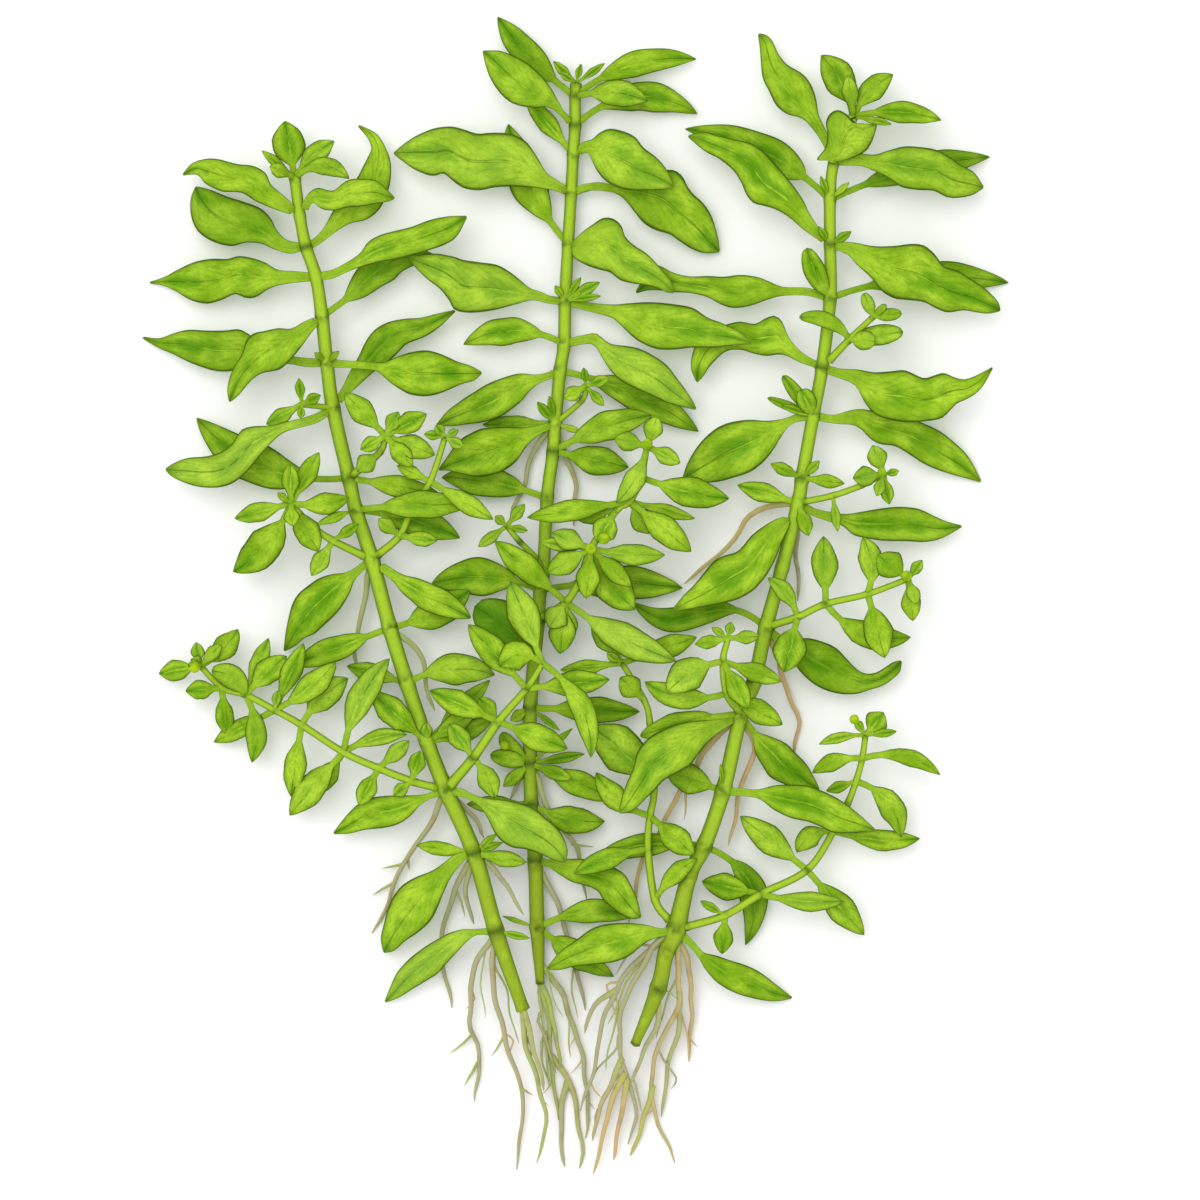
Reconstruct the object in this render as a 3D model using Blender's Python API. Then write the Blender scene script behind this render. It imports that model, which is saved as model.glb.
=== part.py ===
"""Marsh seedbox, a rooted clump of three leafy stems, lying flat on a surface.

Every place below is in millimetres on the clump's own layout: across to the right, along
towards the shoot tips, and up from the surface. ORIGIN is the layout point that becomes the
part's origin, under the middle of the clump. A leaf is written as the way it goes from its
node: node, across, along, width, bow, height of its middle, height of its tip. Bow is how far
its middle lies to the left of the straight line from node to tip. A leaf that is a piece of its
own has its outline drawn in LEAF_OUTLINES, and a leaf that is grown on is an ellipse on a stalk.
"""

import math

import bmesh
import bpy
from mathutils import Vector

MM = 0.001
ORIGIN = Vector((-4.9, 0.966, 0.3))
GAP = 0.3
UP = Vector((0.0, 0.0, 1.0))

PETIOLE_WIDTH = 1.5
PETIOLE_SHARE = 0.2
PETIOLE_THICKNESS = 1.1
BLADE_THICKNESS = 0.7
BLADE_FOLD = 0.22
TIP_SHARPNESS = 1.15
SHOOT_RADIUS = 1.1
TWIG_RADIUS = 0.65
ROOT_START_RADIUS = 0.6
ROOT_TIP_RADIUS = 0.3
SMALL_LEAF_LENGTH = 9.5
NARROWEST_LEAF = 2.0
GROWN_START = 0.35
FIRST_STEP = 0.05
SECTION_STEP = 0.02
LEAST_RING_SPACING = 0.04
LEAST_SINE = 0.35
WELD_DISTANCE = 0.00001

# Shares of a leaf's length at which its section is drawn: a leaf that is a piece of its own,
# a longer grown-on leaf and a short one.
LARGE_LEAF_RINGS = (0.0, 0.22, 0.42, 0.62, 0.83)
MEDIUM_LEAF_RINGS = (0.0, 0.24, 0.5, 0.75)
SMALL_LEAF_RINGS = (0.0, 0.5)

GREENS = {
    "leaf": ((0.205, 0.462, 0.014, 1.0), 0.5),
    "shoot": ((0.262, 0.521, 0.027, 1.0), 0.5),
    "stem": ((0.402, 0.672, 0.054, 1.0), 0.45),
}

# The stems, from the tip down to the cut or rooted end: across, along, up, radius.
LEFT_STEM = {
    0: (-61.0, 84.4, 9.0, 1.25),
    1: (-60.0, 76.8, 9.0, 1.25),
    2: (-58.8, 70.6, 8.5, 1.35),
    3: (-56.8, 64.6, 8.5, 1.35),
    4: (-55.6, 56.6, 8.5, 1.45),
    5: (-54.6, 47.4, 8.5, 1.45),
    6: (-53.4, 38.4, 8.5, 1.55),
    7: (-50.2, 24.4, 8.5, 1.55),
    8: (-48.8, 18.0, 8.5, 1.55),
    9: (-45.6, 8.0, 8.5, 1.65),
    10: (-42.0, -5.6, 8.5, 1.65),
    11: (-38.6, -16.6, 8.5, 1.65),
    12: (-34.6, -28.4, 8.5, 1.65),
    13: (-30.8, -38.0, 8.5, 1.75),
    14: (-25.2, -50.6, 8.5, 1.75),
    15: (-20.8, -66.2, 8.0, 1.75),
    16: (-15.4, -82.0, 7.5, 1.65),
}
MIDDLE_STEM = {
    0: (-4.8, 103.6, 4.0, 1.2),
    1: (-5.0, 101.0, 4.0, 1.2),
    2: (-5.0, 95.2, 4.0, 1.3),
    3: (-5.4, 89.4, 4.0, 1.3),
    4: (-5.8, 81.6, 4.0, 1.3),
    5: (-6.4, 71.4, 4.0, 1.3),
    6: (-7.0, 60.0, 4.0, 1.4),
    7: (-7.2, 51.4, 4.0, 1.4),
    8: (-8.0, 46.0, 4.0, 1.4),
    9: (-9.0, 35.4, 4.0, 1.4),
    10: (-9.4, 29.8, 4.0, 1.4),
    11: (-10.6, 20.4, 4.0, 1.4),
    12: (-11.4, 5.4, 4.0, 1.4),
    13: (-12.0, 2.0, 4.0, 1.4),
    14: (-12.4, -4.0, 4.0, 1.5),
    15: (-14.0, -21.6, 4.0, 1.5),
    16: (-14.0, -32.8, 4.0, 1.5),
    17: (-13.8, -41.0, 4.0, 1.5),
    18: (-13.0, -52.4, 4.0, 1.6),
    19: (-12.6, -65.8, 3.8, 1.6),
    20: (-12.0, -77.0, 3.4, 1.5),
}
RIGHT_STEM = {
    0: (50.6, 96.6, 9.0, 1.1),
    1: (46.8, 87.6, 9.0, 1.2),
    2: (46.0, 80.0, 9.0, 1.3),
    3: (46.0, 71.0, 9.0, 1.3),
    4: (46.0, 60.4, 9.0, 1.4),
    5: (44.4, 46.4, 9.0, 1.4),
    6: (42.6, 36.8, 9.0, 1.4),
    7: (40.4, 24.4, 9.0, 1.5),
    8: (39.6, 19.4, 9.0, 1.5),
    9: (36.4, 6.4, 9.0, 1.5),
    10: (33.2, -5.4, 9.0, 1.6),
    11: (30.8, -16.4, 9.0, 1.6),
    12: (28.2, -22.8, 9.0, 1.6),
    13: (24.6, -38.2, 9.0, 1.7),
    14: (20.8, -49.2, 9.0, 1.7),
    15: (17.8, -55.2, 8.5, 1.7),
    16: (15.2, -66.0, 8.0, 2.1),
    17: (13.2, -70.6, 8.0, 1.7),
    18: (11.6, -77.8, 7.5, 1.8),
    19: (7.0, -89.0, 6.5, 1.8),
}

# Leaves that are pieces of their own, by node name.
LEFT_LEAVES = {
    "leaf_left_1_l": (1, -23.6, 8.4, 6.0, -1.6, 11.0, 6.0),
    "leaf_left_1_r": (1, 19.0, 3.0, 5.6, 2.4, 13.0, 11.0),
    "leaf_left_2_l": (2, -22.4, 12.4, 9.0, 1.8, 7.0, 3.0),
    "leaf_left_2_r": (2, 10.4, 24.4, 6.8, -8.0, 7.5, 5.0),
    "leaf_left_3_l": (3, -33.8, -0.8, 9.0, 0.0, 7.0, 1.0),
    "leaf_left_3_r": (3, 29.4, 11.4, 8.0, 1.0, 12.0, 10.0),
    "leaf_left_4_l": (4, -18.2, -17.2, 8.0, -2.2, 14.0, 10.0),
    "leaf_left_5_l": (5, -37.4, 5.4, 7.2, 0.0, 6.5, 1.0),
    "leaf_left_5_r": (5, 31.0, -2.0, 9.0, 0.0, 12.0, 9.0),
    "leaf_left_6_l": (6, -33.6, -12.4, 9.0, 1.4, 14.0, 7.0),
    "leaf_left_6_r": (6, 24.2, 19.6, 7.6, 3.3, 6.5, 6.0),
    "leaf_left_9_l": (9, -17.0, -18.6, 9.6, -1.8, 9.0, 3.0),
    "leaf_left_9_r": (9, 20.0, -11.6, 7.2, 0.0, 12.0, 11.0),
    "leaf_left_13_l": (13, -22.6, -8.8, 6.6, 0.0, 9.0, 5.0),
    "leaf_left_13_r": (13, 24.0, -14.0, 9.6, 1.2, 14.0, 13.0),
    "leaf_left_14_l": (14, -18.0, -20.0, 7.6, 0.0, 9.0, 3.0),
    "leaf_left_15_l": (15, -22.4, -14.6, 5.6, -2.6, 7.0, 2.0),
}
MIDDLE_LEAVES = {
    "leaf_middle_2_l": (2, -18.2, 14.2, 6.8, 0.0, 9.0, 8.0),
    "leaf_middle_3_r": (3, 19.8, -6.8, 8.8, 1.2, 9.5, 8.0),
    "leaf_middle_4_l": (4, -35.6, 8.2, 11.4, -0.6, 9.0, 5.0),
    "leaf_middle_4_r": (4, 29.6, -11.4, 8.4, 2.2, 5.0, 2.0),
    "leaf_middle_5_r": (5, 20.8, -10.0, 7.6, 0.0, 10.0, 10.0),
    "leaf_middle_6_l": (6, -31.6, 8.8, 9.2, -0.3, 9.0, 9.0),
    "leaf_middle_6_r": (6, 37.0, -9.0, 7.6, -0.4, 8.0, 13.0),
    "leaf_middle_7_r": (7, 26.2, -13.2, 8.4, 2.6, 9.0, 7.0),
    "leaf_middle_8_l": (8, -24.8, -10.8, 7.2, 0.0, 6.0, 5.0),
    "leaf_middle_9_l": (9, -23.0, -9.4, 9.2, 0.0, 8.0, 9.0),
    "leaf_middle_18_r": (18, 21.0, -11.0, 6.8, 3.6, 8.0, 9.0),
}
RIGHT_LEAVES = {
    "leaf_right_1_l": (1, -15.0, 25.8, 6.8, 0.0, 6.5, 4.0),
    "leaf_right_1_front": (1, 6.8, 7.4, 7.6, 0.0, 14.0, 18.0),
    "leaf_right_1_r": (1, 30.0, -5.0, 8.4, 1.2, 12.0, 7.0),
    "leaf_right_3_l": (3, -28.0, 21.8, 8.8, -1.4, 11.0, 8.0),
    "leaf_right_3_r": (3, 33.8, -13.0, 10.0, 0.0, 12.0, 9.0),
    "leaf_right_4_l": (4, -38.0, 2.6, 5.2, 0.0, 8.0, 5.0),
    "leaf_right_5_l": (5, -25.0, -2.8, 6.4, -6.6, 8.5, 7.0),
    "leaf_right_5_r": (5, 33.8, -0.2, 9.2, -5.2, 12.5, 11.0),
    "leaf_right_6_l": (6, -25.8, -12.4, 8.4, -1.0, 10.0, 6.0),
    "leaf_right_6_r": (6, 33.8, -12.8, 8.0, 1.6, 6.0, 1.0),
    "leaf_right_8_l": (8, -25.0, -21.6, 9.6, 0.0, 13.0, 11.0),
    "leaf_right_8_r": (8, 33.0, -4.6, 6.6, -1.0, 8.0, 4.0),
    "leaf_right_10_r": (10, 27.2, -7.0, 7.2, -4.4, 6.5, 6.0),
    "leaf_right_12_l": (12, -24.4, -19.6, 10.4, 0.0, 14.0, 13.0),
    "leaf_right_13_r": (13, 30.2, -7.8, 8.4, 1.4, 12.0, 11.0),
    "leaf_right_16_l": (16, -25.6, -7.2, 6.8, 0.0, 12.0, 11.0),
    "leaf_right_16_r": (16, 23.4, -14.0, 7.2, -1.0, 7.0, 1.0),
}

# Smaller and half-hidden leaves, buds and the tip tuft that are grown on as one with a stem.
LEFT_SMALL = (
    (4, 22.6, 12.4, 6.6, 2.0, 6.5, 5.0),
    (0, -2.0, 11.4, 6.8, 0.0, 10.0, 9.0),
    (0, 8.0, 7.2, 4.4, 0.6, 11.0, 11.0),
    (0, 11.0, 0.2, 3.0, 2.8, 12.0, 11.0),
    (0, -6.6, 5.4, 2.0, 0.0, 10.0, 10.0),
    (0, -4.8, 2.0, 3.0, 0.0, 13.0, 14.0),
    (5, -2.4, 2.0, 1.4, 0.0, 10.5, 11.5),
    (5, 2.6, 2.2, 1.4, 0.0, 10.5, 11.5),
    (7, -30.8, 12.4, 8.6, 3.6, 4.5, 3.0),
    (7, 18.2, -3.2, 4.4, 0.0, 11.5, 11.5),
    (8, 23.4, 1.0, 5.6, 0.4, 14.5, 14.0),
    (8, 20.8, -5.6, 6.2, 1.0, 7.5, 7.0),
    (8, -7.6, -2.6, 1.6, 0.0, 9.5, 10.0),
    (10, -20.2, -7.6, 5.2, 0.0, 7.0, 5.0),
    (10, 16.0, 7.6, 6.8, -1.0, 8.0, 7.0),
    (11, -12.2, 3.4, 4.0, 0.0, 6.5, 5.0),
    (11, 17.6, 1.6, 6.4, 2.0, 10.0, 9.5),
    (12, -11.2, 10.2, 5.6, 0.0, 12.0, 13.0),
    (12, 9.6, 6.0, 4.2, 0.0, 10.0, 11.0),
    (12, 13.4, 4.8, 4.0, -0.6, 9.5, 9.5),
    (12, 12.6, 12.4, 4.0, 0.0, 8.5, 8.5),
    (12, 0.0, 4.0, 2.4, 0.0, 11.0, 12.5),
    (14, -11.6, 1.6, 3.0, 0.0, 9.0, 8.5),
    (14, 10.6, -1.8, 3.4, 0.0, 10.5, 10.5),
    (14, 4.6, 4.0, 1.6, 0.0, 9.5, 10.5),
    (14, 5.8, 2.2, 1.6, 0.0, 9.5, 10.0),
    (15, 6.8, -1.4, 1.6, 0.0, 9.0, 9.5),
)
MIDDLE_SMALL = (
    (1, 14.6, -1.2, 5.6, 1.0, 9.0, 8.0),
    (0, -4.6, 4.4, 2.0, 0.0, 5.0, 5.5),
    (0, 5.8, 4.0, 1.6, 0.0, 5.0, 5.5),
    (0, 1.0, 3.8, 1.4, 0.0, 5.0, 6.0),
    (0, -3.2, 2.0, 1.6, 0.0, 6.0, 7.0),
    (1, -15.6, 16.2, 5.8, 1.0, 3.5, 2.0),
    (1, 24.4, 8.4, 5.2, 1.8, 5.0, 4.0),
    (2, 24.6, 2.4, 6.2, 4.6, 3.5, 2.5),
    (3, -9.6, 11.6, 4.0, 0.0, 4.0, 4.0),
    (5, -12.0, 24.2, 7.6, 1.8, 3.5, 3.0),
    (6, -2.0, 3.0, 1.6, 0.0, 6.0, 7.0),
    (6, 3.2, 4.6, 1.6, 0.0, 7.0, 8.5),
    (6, 7.0, 3.6, 2.4, 0.0, 7.5, 8.0),
    (6, 7.2, 0.8, 1.6, 0.0, 7.5, 8.5),
    (7, -20.2, -0.2, 5.6, -2.6, 7.0, 5.0),
    (8, 27.8, -12.2, 6.4, 1.6, 4.0, 3.0),
    (9, -3.6, 4.2, 2.0, 0.0, 6.0, 7.5),
    (9, -1.2, 5.4, 1.6, 0.0, 6.0, 7.5),
    (9, -14.6, -0.2, 3.6, 0.0, 3.5, 3.0),
    (9, 5.4, -1.8, 1.4, 0.0, 5.0, 5.5),
    (10, 19.8, 7.2, 6.0, 1.0, 6.5, 7.0),
    (10, 15.2, -3.2, 6.0, 0.0, 5.5, 5.5),
    (11, -21.2, 4.2, 6.4, -1.0, 4.0, 4.0),
    (13, -21.8, 1.2, 7.6, -2.0, 5.5, 5.0),
    (13, 28.6, 0.4, 5.6, 2.0, 4.0, 3.5),
    (15, -4.0, -2.6, 2.4, 0.0, 5.0, 5.5),
    (15, 22.0, -0.8, 5.4, 0.0, 6.0, 4.5),
    (15, 6.0, -4.6, 1.4, 0.0, 5.0, 5.5),
    (16, -5.6, 6.4, 3.6, 0.8, 5.5, 6.5),
    (16, -8.0, 1.8, 3.6, 0.0, 5.5, 6.5),
    (16, -5.4, -4.6, 2.8, 0.0, 5.5, 6.0),
    (16, 8.4, -3.0, 3.0, 0.0, 7.0, 7.5),
    (16, 11.0, 2.0, 2.2, 0.0, 6.0, 6.5),
    (16, 8.6, 7.2, 1.6, 0.0, 6.0, 6.5),
    (16, 17.6, -7.2, 5.2, 0.0, 6.0, 5.5),
    (17, 14.8, -2.6, 5.6, 0.0, 4.5, 4.0),
    (17, -13.0, 0.0, 3.6, 0.0, 3.5, 3.5),
    (19, 20.6, 2.4, 5.4, 3.8, 5.5, 5.0),
    (19, 15.4, -9.8, 5.4, 0.8, 4.0, 3.5),
    (19, -7.0, 2.4, 1.0, 0.0, 4.0, 4.5),
)
RIGHT_SMALL = (
    (4, 36.2, 3.4, 6.4, 2.4, 5.0, 1.0),
    (0, -6.4, 12.4, 6.6, -1.0, 9.0, 8.5),
    (0, -1.2, 8.0, 3.4, 0.0, 12.0, 13.0),
    (0, 8.0, 8.4, 4.8, 1.0, 10.0, 10.0),
    (0, 17.6, -0.8, 4.4, 1.2, 11.0, 10.0),
    (0, 7.6, -1.8, 1.6, 0.0, 12.0, 13.0),
    (2, 32.4, 9.0, 5.8, 1.6, 5.5, 2.5),
    (2, -29.0, 14.6, 7.2, -2.8, 5.5, 3.0),
    (2, -2.0, 4.6, 1.4, 0.0, 10.5, 11.5),
    (2, 3.8, 3.4, 1.4, 0.0, 10.0, 10.5),
    (3, -2.4, 3.6, 1.4, 0.0, 10.5, 11.5),
    (3, 4.2, 2.6, 1.8, 0.0, 10.0, 10.5),
    (4, -4.8, 9.8, 4.4, 0.6, 12.0, 13.0),
    (4, -3.0, 6.0, 1.4, 0.0, 11.0, 13.0),
    (6, -2.6, 5.2, 4.0, 0.0, 12.0, 13.5),
    (6, -6.2, 8.0, 2.8, 0.0, 11.0, 12.0),
    (6, -9.2, 3.6, 1.9, 0.0, 10.0, 10.5),
    (6, -6.4, 2.0, 1.6, 0.0, 11.0, 12.0),
    (7, -6.4, 2.8, 2.6, 0.0, 11.0, 12.0),
    (7, 3.4, 3.4, 2.0, 0.0, 11.0, 12.0),
    (7, 8.4, -1.2, 2.8, 0.0, 12.0, 12.0),
    (8, -12.2, 3.6, 4.0, 0.0, 9.5, 9.5),
    (8, 2.0, -6.6, 3.2, 0.0, 12.0, 13.5),
    (10, -26.8, 5.0, 5.2, 0.0, 6.5, 6.0),
    (12, 15.8, -15.2, 7.0, -1.4, 6.5, 5.0),
    (13, -11.6, 4.2, 6.0, 0.0, 7.0, 6.5),
    (13, -0.6, 5.6, 1.0, 0.0, 11.0, 11.5),
    (14, -21.6, -2.4, 4.8, -1.4, 5.5, 5.0),
    (14, 8.4, -20.2, 5.6, 5.6, 5.0, 2.0),
)

# Roots that leave a stem: points (across, along, up) from the stem outwards.
LEFT_ROOTS = (
    ((-45.6, 8.0, 8.0), (-48.6, -6.2, 4.0), (-49.0, -11.6, 2.5), (-48.4, -15.0, 1.5)),
    ((-42.0, -5.6, 8.5), (-36.4, -10.4, 6.5), (-34.8, -16.4, 6.0), (-33.2, -22.2, 6.0)),
    (
        (-30.8, -38.0, 8.0),
        (-34.6, -45.6, 5.0),
        (-39.8, -53.8, 3.0),
        (-42.8, -61.0, 1.5),
        (-45.8, -67.0, 0.6),
    ),
    ((-30.8, -38.0, 8.0), (-26.0, -42.8, 6.0), (-23.0, -47.6, 6.0)),
    (
        (-25.2, -50.6, 8.0),
        (-30.0, -60.4, 4.5),
        (-31.6, -66.6, 3.0),
        (-31.4, -73.2, 1.8),
        (-30.0, -82.0, 0.8),
    ),
    ((-25.2, -50.6, 8.0), (-26.8, -59.4, 5.5), (-25.4, -65.0, 4.5)),
    ((-25.2, -50.6, 8.0), (-19.4, -55.8, 8.0), (-15.6, -63.0, 8.0)),
    (
        (-20.8, -66.2, 7.5),
        (-25.4, -74.6, 5.0),
        (-26.0, -84.4, 3.0),
        (-24.4, -91.0, 1.8),
        (-25.0, -100.8, 0.6),
    ),
    (
        (-20.8, -66.2, 7.5),
        (-21.4, -78.2, 6.0),
        (-19.4, -86.0, 5.0),
        (-16.8, -95.0, 4.0),
        (-15.6, -100.2, 3.0),
        (-16.0, -109.4, 1.5),
        (-17.0, -114.6, 0.6),
    ),
    (
        (-15.6, -81.0, 7.5),
        (-14.6, -89.6, 7.0),
        (-12.2, -98.0, 6.0),
        (-10.6, -104.6, 5.0),
        (-13.0, -113.0, 4.0),
    ),
    ((-15.6, -81.0, 7.8), (-12.6, -91.6, 8.0), (-11.4, -98.2, 7.5)),
)
MIDDLE_ROOTS = (
    ((-9.0, 35.4, 3.8), (-13.8, 29.0, 2.5), (-15.4, 22.8, 2.2), (-17.8, 17.2, 1.8)),
    ((-9.0, 35.4, 3.8), (-6.8, 29.0, 2.5), (-5.2, 24.0, 2.2), (-5.2, 15.0, 1.8)),
    ((-14.0, -32.8, 4.0), (-16.6, -36.6, 3.5), (-18.0, -40.0, 3.0)),
    (
        (-14.0, -32.8, 4.0),
        (-11.0, -39.8, 4.0),
        (-9.4, -44.0, 3.5),
        (-4.6, -50.2, 3.0),
        (-2.8, -60.2, 2.5),
    ),
    (
        (-13.0, -52.4, 3.8),
        (-8.2, -62.0, 3.0),
        (-6.0, -68.6, 2.2),
        (-4.6, -75.8, 1.8),
        (-2.8, -82.4, 1.2),
    ),
    ((-12.2, -75.8, 3.2), (-10.6, -83.6, 2.4), (-9.8, -91.6, 1.6), (-8.6, -104.6, 0.6)),
    ((-12.2, -75.8, 3.2), (-9.0, -86.0, 2.8), (-8.2, -94.0, 2.2)),
    (
        (-12.4, -72.0, 3.2),
        (-7.4, -79.8, 2.8),
        (-4.4, -88.8, 2.0),
        (-2.6, -98.0, 1.4),
        (-2.8, -108.2, 0.6),
    ),
    ((-9.8, -91.6, 1.6), (-6.0, -97.6, 1.2), (-3.6, -109.0, 0.9), (-4.2, -114.4, 0.6)),
    ((-6.6, -96.8, 1.2), (-8.0, -103.4, 1.0), (-7.0, -114.0, 0.6)),
)
RIGHT_ROOTS = (
    (
        (39.6, 19.4, 8.5),
        (33.4, 18.6, 6.0),
        (29.0, 15.8, 4.5),
        (25.6, 10.6, 3.5),
        (16.6, 3.2, 2.0),
    ),
    ((39.6, 19.4, 8.5), (39.6, 12.0, 5.5), (39.4, 7.6, 4.0), (39.8, -0.2, 3.0)),
    (
        (33.2, -5.4, 8.5),
        (36.6, -14.8, 4.0),
        (38.2, -19.8, 2.5),
        (39.8, -24.6, 1.5),
        (39.0, -31.8, 0.8),
    ),
    (
        (28.2, -22.8, 8.5),
        (22.2, -28.8, 6.5),
        (18.2, -34.8, 5.5),
        (11.2, -47.6, 4.0),
        (8.0, -54.0, 3.0),
        (6.0, -65.0, 2.0),
    ),
    ((28.2, -22.8, 8.5), (30.8, -30.4, 6.0), (28.0, -38.4, 5.0), (26.0, -49.2, 4.5)),
    (
        (15.2, -66.0, 8.0),
        (6.0, -73.8, 7.0),
        (2.4, -79.8, 6.5),
        (0.4, -85.6, 6.0),
        (-1.2, -93.6, 5.0),
        (-3.8, -102.6, 3.5),
    ),
    ((3.4, -78.0, 6.6), (-1.2, -81.2, 6.0), (-2.8, -86.8, 5.5)),
    (
        (15.2, -66.0, 8.0),
        (10.6, -69.4, 8.0),
        (6.0, -78.2, 7.0),
        (4.0, -83.6, 6.0),
        (4.0, -89.6, 5.0),
        (6.8, -100.6, 3.0),
        (6.8, -106.2, 2.0),
        (5.8, -109.4, 1.2),
    ),
    ((4.4, -92.0, 4.6), (0.8, -100.2, 3.8), (-1.8, -108.6, 3.0)),
    ((5.0, -95.0, 4.2), (1.6, -103.0, 3.6), (-1.2, -115.2, 3.0)),
    ((5.4, -96.2, 4.0), (3.8, -106.6, 3.0), (2.4, -112.6, 2.0)),
    ((11.8, -77.0, 7.5), (11.4, -84.4, 6.5), (8.8, -90.8, 5.0), (5.8, -97.4, 4.0)),
    (
        (15.2, -66.0, 7.5),
        (15.8, -79.8, 5.5),
        (12.2, -88.8, 4.0),
        (10.2, -95.6, 3.0),
        (11.8, -105.4, 1.8),
        (15.2, -113.2, 0.6),
    ),
    ((10.6, -97.6, 2.8), (8.8, -104.6, 2.0), (6.0, -111.8, 1.0)),
    ((15.2, -66.0, 7.5), (18.2, -75.8, 5.0), (18.2, -84.4, 2.5), (18.0, -92.8, 1.0)),
    ((15.9, -78.6, 5.7), (16.0, -86.0, 4.0), (13.4, -94.0, 2.5), (12.6, -103.8, 1.2)),
)

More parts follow.
